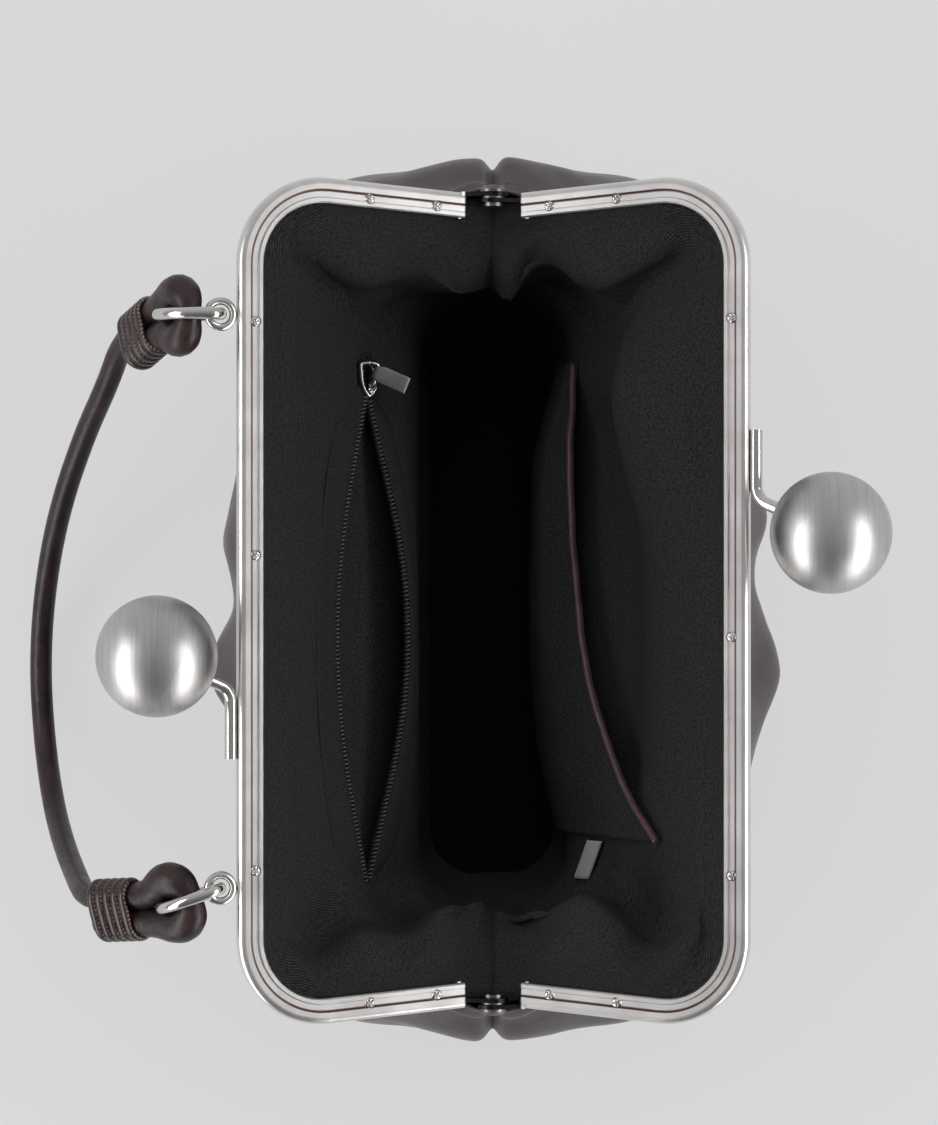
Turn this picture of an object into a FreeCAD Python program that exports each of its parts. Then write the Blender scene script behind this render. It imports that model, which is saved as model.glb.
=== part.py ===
import FreeCAD, Part
import math
import os

import Sketcher

Vector = FreeCAD.Vector
Placement = FreeCAD.Placement
Rotation = FreeCAD.Rotation

# Kiss lock frame purse, standing open on its base
# X is the way the mouth opens, Y runs along the rails, Z is up, and the origin is under the base.
# A frame half is drawn closed: x runs out of the mating plane, z runs from the hinge to the rail.

# Driving dimensions in millimetres and degrees
SIZES = [
    ("hinge_height", 85.0),
    ("open_angle", 70.0),
    ("rail_height", 79.0),
    ("rail_half_length", 125.0),
    ("corner_radius", 26.0),
    ("end_slope", 4.0),
    ("bar_end", 8.2),
    ("channel_depth", 7.6),
    ("channel_thickness", 5.1),
    ("channel_wall", 0.9),
    ("mating_gap", 0.2),
    ("shoulder_radius", 2.0),
    ("band_width", 1.5),
    ("face_recess", 0.7),
    ("crease_run", 0.3),
    ("lip_width", 1.5),
    ("lip_round", 0.4),
    ("cavity_bevel", 0.8),
    ("tongue_thickness", 1.2),
    ("tongue_eye", 4.5),
    ("tongue_eye_turn", 20.0),
    ("tongue_lap", 1.7),
    ("tongue_proud", 0.2),
    ("rivet_radius", 1.5),
    ("rivet_clearance", 0.05),
    ("rivet_head_radius", 4.0),
    ("rivet_head_height", 2.3),
    ("rivet_foot_radius", 3.0),
    ("rivet_foot_height", 1.0),
    ("washer_thickness", 0.5),
    ("washer_gap", 0.1),
    ("washer_radius", 3.6),
    ("screw_head_radius", 1.6),
    ("screw_head_height", 0.5),
    ("screw_shank_radius", 1.0),
    ("screw_shank_length", 3.3),
    ("screw_clearance", 0.1),
    ("screw_inset", 4.95),
    ("end_screw_low", 17.6),
    ("end_screw_high", 38.6),
    ("front_screw_upper", 82.0),
    ("front_screw_middle", 13.5),
    ("front_screw_lower", 79.0),
    ("rear_screw_upper", 80.5),
    ("rear_screw_middle", 10.5),
    ("rear_screw_lower", 83.0),
    ("ball_radius", 17.7),
    ("ball_wall", 1.2),
    ("ball_height", 104.5),
    ("ball_past_centre", 1.5),
    ("front_ball_offset", 15.9),
    ("rear_ball_offset", 19.9),
    ("stem_radius", 1.85),
    ("stem_leg", 20.3),
    ("stem_bend_offset", 10.0),
    ("stem_bend_radius", 5.5),
    ("stem_socket", 3.5),
    ("stem_clearance", 0.03),
    ("braze_gap", 0.02),
    ("eyelet_wire", 1.15),
    ("eyelet_radius", 3.85),
    ("eyelet_offset", 84.0),
    ("ring_wire", 1.8),
    ("ring_half_length", 10.0),
    ("ring_half_height", 6.0),
    ("ring_end_radius", 3.8),
    ("ring_pitch", 25.0),
    ("lower_ring_yaw", 20.0),
    ("fold_seat", 0.3),
    ("handle_radius", 3.5),
    ("strand_gap", 0.3),
    ("lace_radius", 1.25),
    ("lace_clearance", 0.3),
    ("lace_pitch", 2.98),
    ("lace_turns", 5.0),
    ("lace_start", 3.9),
    ("strand_tail", 6.6),
    ("leather", 1.4),
    ("leather_tuck", 0.9),
    ("cloth", 0.8),
    ("cloth_tuck", 0.7),
    ("tuck_gap", 0.3),
    ("tuck_start", 2.2),
    ("leather_rim_inset", 8.5),
    ("leather_tuck_reach", 2.1),
    ("lining_rim_step", 2.1),
    ("cloth_tuck_reach", 1.7),
    ("soft_gap", 0.3),
    ("base_leather", 1.6),
    ("base_half_width", 42.0),
    ("base_half_length", 98.0),
    ("base_corner", 28.0),
    ("board_thickness", 1.8),
    ("stiffener_thickness", 1.5),
    ("stiffener_height", 40.0),
    ("lining_floor_half_width", 20.0),
    ("lining_floor_half_length", 88.0),
    ("lining_floor_corner", 14.0),
    ("lining_floor_margin", 4.0),
    ("lining_bend_height", 45.0),
    ("lining_bend_half_width", 25.0),
    ("lining_bend_half_length", 100.0),
    ("lining_bend_corner", 18.0),
    ("lining_end_inset", 9.5),
    ("lining_brim_corner", 16.0),
    ("foot_height", 12.0),
    ("foot_half_width", 52.0),
    ("foot_half_length", 108.0),
    ("foot_corner", 32.0),
    ("swell_height", 25.0),
    ("swell_half_width", 64.0),
    ("swell_half_length", 119.0),
    ("swell_corner", 38.0),
    ("belly_height", 58.0),
    ("belly_half_width", 84.0),
    ("belly_half_length", 131.0),
    ("belly_corner", 44.0),
    ("neck_drop", 1.0),
    ("neck_half_width", 79.0),
    ("neck_end_inset", 8.4),
    ("neck_corner", 30.0),
    ("throat_drop", 2.8),
    ("throat_swell", 0.8),
    ("throat_corner", 18.0),
    ("brim_rise", 7.2),
    ("brim_draw", 1.9),
    ("brim_corner", 17.0),
    ("leather_end_inset", 9.0),
    ("zip_height", 68.0),
    ("zip_top_end", 74.0),
    ("zip_low_end", 88.0),
    ("zip_slot_up", 12.0),
    ("zip_slot_down", 15.0),
    ("zip_slot_margin", 2.0),
    ("zip_coil_radius", 0.8),
    ("zip_chain_half", 1.6),
    ("zip_chain_end", 2.5),
    ("zip_tape_margin", 4.0),
    ("zip_stop_width", 4.4),
    ("zip_stop_length", 2.4),
    ("zip_stop_gap", 0.6),
    ("zip_tape", 0.5),
    ("zip_gape_up", 9.5),
    ("zip_gape_down", 11.0),
    ("zip_gape_out", 9.0),
    ("slider_from_end", 7.0),
    ("slider_length", 9.6),
    ("slider_width", 7.2),
    ("slider_plate", 0.8),
    ("slider_throat", 2.2),
    ("wedge_half_width", 0.9),
    ("wedge_tip", 0.35),
    ("bail_radius", 0.7),
    ("bail_rise", 1.9),
    ("bail_length", 6.4),
    ("pull_eye_radius", 1.7),
    ("pull_eye_clearance", 0.08),
    ("pull_length", 12.0),
    ("pull_width", 5.0),
    ("pull_thickness", 1.1),
    ("pull_skew", 4.0),
    ("pull_lift", 36.0),
    ("pocket_cloth", 0.7),
    ("pouch_above_zip", 16.0),
    ("pouch_below_zip", 12.5),
    ("pouch_back", 51.0),
    ("pouch_front", 35.0),
    ("pouch_foot", 19.0),
    ("pouch_foot_rise", 2.0),
    ("pouch_stand_off", 0.4),
    ("slip_foot_height", 24.0),
    ("piping_radius", 1.2),
    ("tab_height_on_wall", 58.0),
    ("tab_offset", 73.3),
    ("tab_length", 10.0),
    ("tab_height", 9.0),
    ("tab_thickness", 0.5),
]

doc = FreeCAD.newDocument("frame_purse")
sheet = doc.addObject("Spreadsheet::Sheet", "sizes")
for row, (alias, value) in enumerate(SIZES, start=1):
    sheet.set("A%d" % row, alias)
    sheet.set("B%d" % row, str(value))
    sheet.setAlias("B%d" % row, alias)
doc.recompute()


class Dim:
    """A length or angle: its value now and the sheet formula that gives it."""

    def __init__(self, value, formula):
        self.value = value
        self.formula = formula

    def __add__(self, other):
        other = dim(other)
        return Dim(self.value + other.value, "(%s + %s)" % (self.formula, other.formula))

    def __sub__(self, other):
        other = dim(other)
        return Dim(self.value - other.value, "(%s - %s)" % (self.formula, other.formula))

    def __mul__(self, other):
        other = dim(other)
        return Dim(self.value * other.value, "(%s * %s)" % (self.formula, other.formula))

    def __truediv__(self, other):
        other = dim(other)
        return Dim(self.value / other.value, "(%s / %s)" % (self.formula, other.formula))

    def __neg__(self):
        return Dim(-self.value, "(0 - %s)" % self.formula)

    def __radd__(self, other):
        return dim(other) + self

    def __rsub__(self, other):
        return dim(other) - self

    def __rmul__(self, other):
        return dim(other) * self


def dim(number):
    """A plain number as a Dim."""
    if isinstance(number, Dim):
        return number
    return Dim(float(number), "%.6f" % number)


def size(alias):
    """The named size of the sheet."""
    return Dim(float(sheet.get(alias)), "sizes." + alias)


def cosine(angle):
    return Dim(math.cos(math.radians(angle.value)), "cos(%s)" % angle.formula)


def sine(angle):
    return Dim(math.sin(math.radians(angle.value)), "sin(%s)" % angle.formula)


def plane(body, role):
    """One of the body's own origin planes."""
    return next(f for f in body.Origin.OriginFeatures if f.Role == role)


def new_body(label):
    body = doc.addObject("PartDesign::Body", label)
    body.Label = label
    return body


def new_sketch(body, name, role, lift=None):
    """A sketch on an origin plane, lifted along the plane's normal."""
    sketch = body.newObject("Sketcher::SketchObject", name)
    sketch.AttachmentSupport = [(plane(body, role), "")]
    sketch.MapMode = "FlatFace"
    if lift is not None:
        lift = dim(lift)
        sketch.AttachmentOffset = Placement(Vector(0, 0, lift.value), Rotation())
        sketch.setExpression("AttachmentOffset.Base.z", lift.formula)
    return sketch


def bind(sketch, kind, args, amount):
    """A dimension of the sketch, tied to its formula."""
    amount = dim(amount)
    index = sketch.addConstraint(Sketcher.Constraint(kind, *args, amount.value))
    sketch.setExpression("Constraints[%d]" % index, amount.formula)


def arc_edge(start, end, radius, turn):
    """The arc of under a half circle from start to end; turn is 1 anticlockwise and -1 clockwise."""
    chord = end - start
    middle = (start + end) * 0.5
    across = Vector(-chord.y, chord.x, 0).normalize()
    depth = math.sqrt(max(radius * radius - chord.Length * chord.Length / 4.0, 0.0))
    centre = middle + across * depth * turn
    first = math.atan2(start.y - centre.y, start.x - centre.x)
    last = math.atan2(end.y - centre.y, end.x - centre.x)
    circle = Part.Circle(centre, Vector(0, 0, 1), radius)
    if turn > 0:
        return Part.ArcOfCircle(circle, first, last)
    return Part.ArcOfCircle(circle, last, first)


def outline(sketch, points, arcs=None, closed=True):
    """Lines and arcs through points; arcs gives {edge number: (radius, turn)}."""
    arcs = arcs or {}
    corners = [(dim(x), dim(y)) for x, y in points]
    count = len(corners)
    edges = []
    for i in range(count if closed else count - 1):
        start = Vector(corners[i][0].value, corners[i][1].value, 0)
        follow = corners[(i + 1) % count]
        end = Vector(follow[0].value, follow[1].value, 0)
        if i in arcs:
            radius, turn = arcs[i]
            geometry = sketch.addGeometry(arc_edge(start, end, dim(radius).value, turn))
            edges.append((geometry, 1, 2) if turn > 0 else (geometry, 2, 1))
        else:
            geometry = sketch.addGeometry(Part.LineSegment(start, end))
            edges.append((geometry, 1, 2))
    for before, after in zip(edges, edges[1:] + (edges[:1] if closed else [])):
        sketch.addConstraint(Sketcher.Constraint("Coincident", before[0], before[2], after[0], after[1]))
    ends = [(edge[0], edge[1]) for edge in edges]
    if not closed:
        ends.append((edges[-1][0], edges[-1][2]))
    for (geometry, end), (x, y) in zip(ends, corners):
        bind(sketch, "DistanceX", (-1, 1, geometry, end), x)
        bind(sketch, "DistanceY", (-1, 1, geometry, end), y)
    for i, (radius, turn) in arcs.items():
        bind(sketch, "Radius", (edges[i][0],), radius)
    return sketch


def circles(sketch, centres, radius):
    """Equal circles at the given centres."""
    for x, y in centres:
        x = dim(x)
        y = dim(y)
        radius = dim(radius)
        circle = Part.Circle(Vector(x.value, y.value, 0), Vector(0, 0, 1), radius.value)
        geometry = sketch.addGeometry(circle)
        bind(sketch, "DistanceX", (-1, 1, geometry, 3), x)
        bind(sketch, "DistanceY", (-1, 1, geometry, 3), y)
        bind(sketch, "Radius", (geometry,), radius)
    return sketch


def pad(body, name, sketch, length, reverse=False, middle=False):
    feature = body.newObject("PartDesign::Pad", name)
    feature.Profile = sketch
    feature.Length = dim(length).value
    feature.setExpression("Length", dim(length).formula)
    feature.Reversed = reverse
    feature.Midplane = middle
    return feature


def pocket(body, name, sketch, length, middle=False):
    feature = body.newObject("PartDesign::Pocket", name)
    feature.Profile = sketch
    feature.Length = dim(length).value
    feature.setExpression("Length", dim(length).formula)
    feature.Midplane = middle
    return feature


def pipe(body, name, section, path):
    feature = body.newObject("PartDesign::AdditivePipe", name)
    feature.Profile = section
    feature.Spine = (path, ["Edge%d" % (i + 1) for i in range(path.GeometryCount)])
    return feature


def revolve(body, name, sketch):
    """The sketch turned once about its own vertical axis."""
    feature = body.newObject("PartDesign::Revolution", name)
    feature.Profile = sketch
    feature.ReferenceAxis = (sketch, ["V_Axis"])
    feature.Angle = 360.0
    return feature


def mirror(body, name, originals, role):
    feature = body.newObject("PartDesign::Mirrored", name)
    feature.Originals = originals
    feature.MirrorPlane = (plane(body, role), [""])
    body.Tip = feature
    return feature


def boolean(kind, label, base, tool):
    """A Part::Cut, Part::Fuse or Part::Common of two objects."""
    feature = doc.addObject(kind, label)
    feature.Label = label
    feature.Base = base
    feature.Tool = tool
    return feature


def shape_node(label, shape):
    """A node whose shape comes from Part's own functions."""
    feature = doc.addObject("Part::Feature", label)
    feature.Label = label
    feature.Shape = shape
    return feature


# Where things sit
TURN_ROUND = Placement(Vector(0, 0, 0), Rotation(Vector(0, 0, 1), 180))
FRONT = Placement(Vector(0, 0, size("hinge_height").value),
                  Rotation(Vector(0, 1, 0), -size("open_angle").value))
REAR = TURN_ROUND.multiply(FRONT)

# Shared values of the frame halves
rail = size("rail_height")
half = size("rail_half_length")
corner = size("corner_radius")
slope = size("end_slope")
gap = size("mating_gap")
depth = size("channel_depth")
wall = size("channel_wall")
outer_face = gap + size("channel_thickness")
face = gap + size("face_recess")
inner_leaf = face + wall
outer_leaf = outer_face - wall
mid_wall = (gap + outer_face) / 2
bend_y = half - corner + corner * cosine(slope)
bend_z = rail - corner - corner * sine(slope)


def bar_y(height):
    """How far out the outer edge of an end bar stands at a height above the hinge."""
    return bend_y - (bend_z - height) * sine(slope) / cosine(slope)


tongue = size("tongue_thickness")
outer_tongue_top = bar_y(size("bar_end")) + size("tongue_proud")
outer_tongue_foot = outer_tongue_top - tongue
inner_tongue_top = outer_tongue_foot - size("washer_thickness") - size("washer_gap") * 2
inner_tongue_foot = inner_tongue_top - tongue


def end_screws(sign):
    """The two screws of one end bar, in the plane of the frame."""
    low = size("end_screw_low")
    high = size("end_screw_high")
    return [(sign * (bar_y(u) - size("screw_inset")), u) for u in (low, high)]


def rail_screws(half_name):
    """The three screws along a rail, read along the half's own Y."""
    places = [size(half_name + "_screw_upper"), size(half_name + "_screw_middle"),
              -size(half_name + "_screw_lower")]
    return [(y, rail - size("screw_inset")) for y in places]


FRONT_SCREWS = end_screws(1) + end_screws(-1) + rail_screws("front")
REAR_SCREWS = end_screws(1) + end_screws(-1) + rail_screws("rear")


def frame_path(body, name, end):
    """Half of the U: half a rail, a round corner and an end bar that stops short of the hinge."""
    path = new_sketch(body, name, "YZ_Plane")
    points = [(0, rail), (half - corner, rail), (bend_y, bend_z), (bar_y(end), end)]
    return outline(path, points, {1: (corner, -1)}, closed=False)


def frame_half(label, screws, where):
    """One U of formed channel with its hinge tongues and screw holes."""
    body = new_body(label)
    path = frame_path(body, label + "_path", size("bar_end"))
    section = new_sketch(body, label + "_section", "XZ_Plane")
    shoulder = size("shoulder_radius")
    bevel = size("cavity_bevel")
    crease = shoulder + size("band_width")
    lip = depth - size("lip_width")
    rounding = size("lip_round")
    profile = [
        (gap + shoulder, dim(0)),
        (gap, shoulder),
        (gap, crease),
        (face, crease + size("crease_run")),
        (face, lip - size("crease_run")),
        (gap, lip),
        (gap, depth - rounding),
        (gap + rounding, depth),
        (inner_leaf, depth),
        (inner_leaf, wall + bevel),
        (inner_leaf + bevel, wall),
        (outer_leaf - bevel, wall),
        (outer_leaf, wall + bevel),
        (outer_leaf, depth),
        (outer_face, depth),
        (outer_face, shoulder),
        (outer_face - shoulder, dim(0)),
    ]
    outline(section, [(-w, rail - a) for w, a in profile], {0: (shoulder, -1), 15: (shoulder, -1)})
    channel = pipe(body, label + "_channel", section, path)
    mirror(body, label + "_channel_mirror", [channel], "XZ_Plane")

    eye = size("tongue_eye")
    top = size("bar_end") + size("tongue_lap")
    eye_side = size("tongue_eye_turn")
    tongue_points = [
        (-outer_face, top),
        (-eye, dim(0)),
        (eye * cosine(eye_side), eye * sine(eye_side)),
        (-gap, size("bar_end") - tongue),
        (-gap, top),
    ]
    for name, lift in (("_outer_tongue", -outer_tongue_top), ("_inner_tongue", inner_tongue_foot)):
        tongue_sketch = new_sketch(body, label + name + "_outline", "XZ_Plane", lift)
        eye_arcs = tongue_points[:2] + [(dim(0), -eye)] + tongue_points[2:]
        outline(tongue_sketch, eye_arcs, {1: (eye, 1), 2: (eye, 1)})
        pad(body, label + name, tongue_sketch, tongue)

    bore = new_sketch(body, label + "_rivet_bore_outline", "XZ_Plane")
    circles(bore, [(dim(0), dim(0))], size("rivet_radius") + size("rivet_clearance"))
    right_through = half * 2.2
    pocket(body, label + "_rivet_bore", bore, right_through, middle=True)

    seats = new_sketch(body, label + "_screw_seats_outline", "YZ_Plane")
    circles(seats, screws, size("screw_head_radius") + size("screw_clearance"))
    pocket(body, label + "_screw_seats", seats, face)

    holes = new_sketch(body, label + "_screw_holes_outline", "YZ_Plane")
    circles(holes, screws, size("screw_shank_radius") + size("screw_clearance"))
    pocket(body, label + "_screw_holes", holes, inner_leaf + wall / 2)
    body.Placement = where
    return body


def screw_form():
    """A dome-headed frame screw, head up, seated at z = 0."""
    body = new_body("screw_form")
    head = size("screw_head_radius")
    rise = size("screw_head_height")
    shank = size("screw_shank_radius")
    length = size("screw_shank_length")
    section = new_sketch(body, "screw_form_section", "XZ_Plane")
    points = [(dim(0), -length), (shank, -length), (shank, dim(0)), (head, dim(0)),
              (head, rise * 0.3), (head * 0.6, rise), (dim(0), rise)]
    outline(section, points)
    revolve(body, "screw_form_turned", section)
    return body


def rivet_form():
    """A hinge rivet along +Z with its domed head at the top and the tongues between its heads."""
    body = new_body("rivet_form")
    section = new_sketch(body, "rivet_form_section", "XZ_Plane")
    radius = size("rivet_radius")
    head = size("rivet_head_radius")
    foot = size("rivet_foot_radius")
    low = inner_tongue_foot - size("washer_gap")
    high = outer_tongue_top + size("washer_gap")
    rise = size("rivet_head_height")
    points = [
        (dim(0), low - size("rivet_foot_height")),
        (foot, low - size("rivet_foot_height")),
        (foot, low),
        (radius, low),
        (radius, high),
        (head, high),
        (head, high + rise * 0.35),
        (head * 0.72, high + rise * 0.8),
        (dim(0), high + rise),
    ]
    outline(section, points)
    revolve(body, "rivet_form_turned", section)
    return body


def washer_form():
    """A flat washer round the rivet, between the two tongues."""
    body = new_body("washer_form")
    section = new_sketch(body, "washer_form_section", "XZ_Plane")
    bore = size("rivet_radius") + size("rivet_clearance")
    low = inner_tongue_top + size("washer_gap")
    high = low + size("washer_thickness")
    rim = size("washer_radius")
    outline(section, [(bore, low), (rim, low), (rim, high), (bore, high)])
    revolve(body, "washer_form_turned", section)
    return body


def ball_form():
    """A hollow ball round the origin with the stem's hole at its foot."""
    body = new_body("ball_form")
    section = new_sketch(body, "ball_form_section", "XZ_Plane")
    outer = size("ball_radius")
    inner = outer - size("ball_wall")
    bore = size("stem_radius") + size("stem_clearance")
    foot_outer = -math.sqrt(outer.value ** 2 - bore.value ** 2)
    foot_inner = -math.sqrt(inner.value ** 2 - bore.value ** 2)
    points = [(bore, foot_outer), (outer, 0), (0, outer), (0, inner), (inner, 0), (bore, foot_inner)]
    outline(section, points, {0: (outer, 1), 1: (outer, 1), 3: (inner, -1), 4: (inner, -1)})
    revolve(body, "ball_form_turned", section)
    return body


def copies(label, form, places):
    """One node of equal solids."""
    shapes = []
    for place in places:
        shape = form.Shape.copy()
        shape.Placement = place
        shapes.append(shape)
    return shape_node(label, Part.makeCompound(shapes))


def screw_places(screws, where):
    """Each screw's head faces the mating plane."""
    facing = Rotation(Vector(0, 1, 0), 90)
    return [where.multiply(Placement(Vector(-face.value, y.value, u.value), facing)) for y, u in screws]


def stem(label, offset, where):
    """The bent wire that carries a ball: a leg brazed along the rail and an arm to the ball."""
    body = new_body(label)
    radius = size("stem_radius")
    leg_height = rail + radius + size("braze_gap")
    rise = size("ball_height") - leg_height
    across = mid_wall + size("ball_past_centre")
    reach = math.hypot(rise.value, across.value)
    lean = math.degrees(math.atan2(across.value, rise.value))
    bend_at = -(size(offset) + size("stem_bend_offset"))
    leg_end = bend_at - size("stem_leg")
    arm = math.atan2(reach, size("stem_bend_offset").value)
    bend = size("stem_bend_radius")
    setback = bend * math.tan(arm / 2)
    arm_length = math.hypot(reach, size("stem_bend_offset").value)
    stop = arm_length - size("ball_radius") + size("stem_socket")
    path = new_sketch(body, label + "_path", "YZ_Plane")
    points = [
        (leg_end, dim(0)),
        (bend_at - setback, dim(0)),
        (bend_at + setback * math.cos(arm), setback * math.sin(arm)),
        (bend_at + stop * math.cos(arm), stop * math.sin(arm)),
    ]
    outline(path, points, {1: (bend, 1)}, closed=False)
    section = new_sketch(body, label + "_section", "XZ_Plane", -leg_end)
    circles(section, [(dim(0), dim(0))], radius)
    pipe(body, label + "_wire", section, path)
    leaning = Placement(Vector(-mid_wall.value, 0, leg_height.value), Rotation(Vector(0, 1, 0), lean))
    body.Placement = where.multiply(leaning)
    at_ball = Placement(Vector(0, -size(offset).value, reach),
                        Rotation(Vector(0, 0, 1), Vector(0, math.cos(arm), math.sin(arm))))
    return body, body.Placement.multiply(at_ball)


def ring(label, where):
    """An oval wire ring, long axis along X, standing in the XZ plane."""
    body = new_body(label)
    long_half = size("ring_half_length")
    tall_half = size("ring_half_height")
    end = size("ring_end_radius")
    reach = long_half - end
    side = (reach * reach + tall_half * tall_half - end * end) / ((tall_half - end) * 2)
    meet_x = reach + end * reach / (side - end)
    meet_z = end * (side - tall_half) / (side - end)
    path = new_sketch(body, label + "_path", "XZ_Plane")
    points = [(dim(0), tall_half), (meet_x, meet_z), (meet_x, -meet_z), (dim(0), -tall_half)]
    outline(path, points, {0: (side, -1), 1: (end, -1), 2: (side, -1)}, closed=False)
    section = new_sketch(body, label + "_section", "YZ_Plane")
    circles(section, [(dim(0), tall_half)], size("ring_wire"))
    wire = pipe(body, label + "_wire", section, path)
    mirror(body, label + "_mirror", [wire], "YZ_Plane")
    body.Placement = where
    return body


def bend_middle(start, end, tangent):
    """The middle of the arc that leaves start along tangent and reaches end."""
    chord = end - start
    along = Vector(chord).normalize()
    aside = tangent - along * tangent.dot(along)
    if aside.Length < 1e-9:
        return None
    angle = math.atan2(aside.Length, tangent.dot(along))
    return (start + end) * 0.5 + aside.normalize() * (chord.Length / 2 * math.tan(angle / 2))


def arc_or_line(start, end, tangent):
    middle = bend_middle(start, end, tangent)
    if middle is None:
        return Part.LineSegment(start, end).toShape()
    return Part.Arc(start, middle, end).toShape()


def rounded_route(label, points):
    """Straight runs joined by tangent arcs, each as large as its two runs allow."""
    edges = []
    radii = []
    last = points[0]
    for before, at, after in zip(points, points[1:], points[2:]):
        into = (at - before).normalize()
        out = (after - at).normalize()
        setback = 0.45 * min((at - before).Length, (after - at).Length)
        turn = into.getAngle(out)
        radii.append(setback / math.tan(turn / 2))
        start = at - into * setback
        end = at + out * setback
        edges.append(Part.LineSegment(last, start).toShape())
        edges.append(arc_or_line(start, end, into))
        last = end
    edges.append(Part.LineSegment(last, points[-1]).toShape())
    print(label, "bend radii", [round(radius, 1) for radius in radii])
    return Part.Wire(edges)


def tube(label, wire, radius):
    """A round tube along a wire, with its volume compared with section times length."""
    first = wire.Edges[0]
    start = first.valueAt(first.FirstParameter)
    tangent = first.tangentAt(first.FirstParameter)
    section = Part.Wire([Part.makeCircle(radius, start, tangent)])
    solid = wire.makePipeShell([section], True, False)
    ratio = solid.Volume / (math.pi * radius ** 2 * wire.Length)
    print(label, "length", round(wire.Length, 1), "volume over section times length", round(ratio, 4))
    return shape_node(label, solid)


# Frame halves, screws, hinges, balls
frame_half("front_frame", FRONT_SCREWS, FRONT)
frame_half("rear_frame", REAR_SCREWS, REAR)
screw = screw_form()
rivet = rivet_form()
washer = washer_form()
ball = ball_form()
front_stem, front_ball_place = stem("front_stem", "front_ball_offset", FRONT)
rear_stem, rear_ball_place = stem("rear_stem", "rear_ball_offset", REAR)
doc.recompute()
copies("front_frame_screws", screw, screw_places(FRONT_SCREWS, FRONT))
copies("rear_frame_screws", screw, screw_places(REAR_SCREWS, REAR))
copies("front_ball", ball, [front_ball_place])
copies("rear_ball", ball, [rear_ball_place])
hinge_line = Vector(0, 0, size("hinge_height").value)
both_ends = [Placement(hinge_line, Rotation(Vector(1, 0, 0), angle)) for angle in (-90, 90)]
copies("hinge_rivets", rivet, both_ends)
copies("hinge_washers", washer, both_ends)


# Handle: eyelets, rings, rolled leather and its lace windings
def eyelets():
    """Two wire rings brazed to the outer edge of the front rail, in the plane of the frame."""
    rings = []
    up = rail + size("eyelet_radius") + size("eyelet_wire") + size("braze_gap")
    for name, sign in (("upper", 1), ("lower", -1)):
        torus = doc.addObject("Part::Torus", name + "_eyelet")
        torus.setExpression("Radius1", "sizes.eyelet_radius")
        torus.setExpression("Radius2", "sizes.eyelet_wire")
        seat = Vector(-mid_wall.value, sign * size("eyelet_offset").value, up.value)
        torus.Placement = FRONT.multiply(Placement(seat, Rotation(Vector(0, 1, 0), 90)))
        rings.append(torus)
    group = doc.addObject("Part::Compound", "handle_eyelets")
    group.Label = "handle_eyelets"
    group.Links = rings
    reach = Vector(0, 0, up.value + size("eyelet_radius").value)
    return FRONT.multVec(Vector(-mid_wall.value, 0, reach.z))


hook = eyelets()
print("handle turns about", [round(value, 3) for value in hook])


def ring_place(y, yaw):
    """A ring hung with one end round the eyelet's outer wire and the other end outward and down."""
    pitch = math.radians(size("ring_pitch").value)
    turn = math.radians(yaw)
    along = Vector(-math.cos(pitch) * math.cos(turn), -math.cos(pitch) * math.sin(turn), -math.sin(pitch))
    up = Vector(-math.sin(pitch) * math.cos(turn), -math.sin(pitch) * math.sin(turn), math.cos(pitch))
    aside = size("ring_end_radius").value * along.y
    centre = Vector(hook.x, y + aside, hook.z)
    centre = centre + along * (size("ring_half_length").value - size("ring_end_radius").value)
    return Placement(centre, Rotation(along, Vector(0, 0, 0), up, "XZY"))


eyelet_y = size("eyelet_offset").value
UPPER_RING = ring_place(eyelet_y, 0.0)
LOWER_RING = ring_place(-eyelet_y, size("lower_ring_yaw").value)
ring("upper_ring", UPPER_RING)
ring("lower_ring", LOWER_RING)

handle_radius = size("handle_radius").value
strand_step = handle_radius + size("strand_gap").value / 2
lace_radius = size("lace_radius").value
lace_start = size("lace_start").value
wrap_length = size("lace_pitch").value * size("lace_turns").value + 2 * lace_radius


def knot(ring_at, wrap_end, wrap_direction):
    """The doubled end of the handle: a strand, the fold through a ring and the strand back."""
    inside = ring_at.multVec(Vector(size("fold_seat").value, 0, 0))
    normal = ring_at.Rotation.multVec(Vector(0, 1, 0))
    toward = (inside - wrap_end).normalize()
    aside = (normal - toward * normal.dot(toward)).normalize()
    fold = 2 * handle_radius
    centre = inside - toward * fold
    spread = fold / math.cos(math.radians(22.5))
    level = (aside - wrap_direction * aside.dot(wrap_direction)).normalize()
    far = wrap_end + wrap_direction * (lace_start + wrap_length + size("strand_tail").value)
    tail = wrap_end + wrap_direction * (lace_start + wrap_length)
    points = [tail + level * strand_step, wrap_end + level * strand_step]
    for angle in (90, 45, 0, -45, -90):
        turn = math.radians(angle)
        points.append(centre + toward * spread * math.cos(turn) + aside * spread * math.sin(turn))
    points.append(wrap_end - level * strand_step)
    points.append(far - level * strand_step)
    return points, level


UPPER_WRAP_END = Vector(-97.6, 84.0, 96.5)
UPPER_WRAP_DIRECTION = Vector(-0.50, -0.33, -0.80).normalize()
LOWER_WRAP_END = Vector(-100.8, -91.0, 100.2)
LOWER_WRAP_DIRECTION = Vector(-0.82, -0.08, -0.57).normalize()
upper_knot, upper_level = knot(UPPER_RING, UPPER_WRAP_END, UPPER_WRAP_DIRECTION)
lower_knot, lower_level = knot(LOWER_RING, LOWER_WRAP_END, LOWER_WRAP_DIRECTION)

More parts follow.
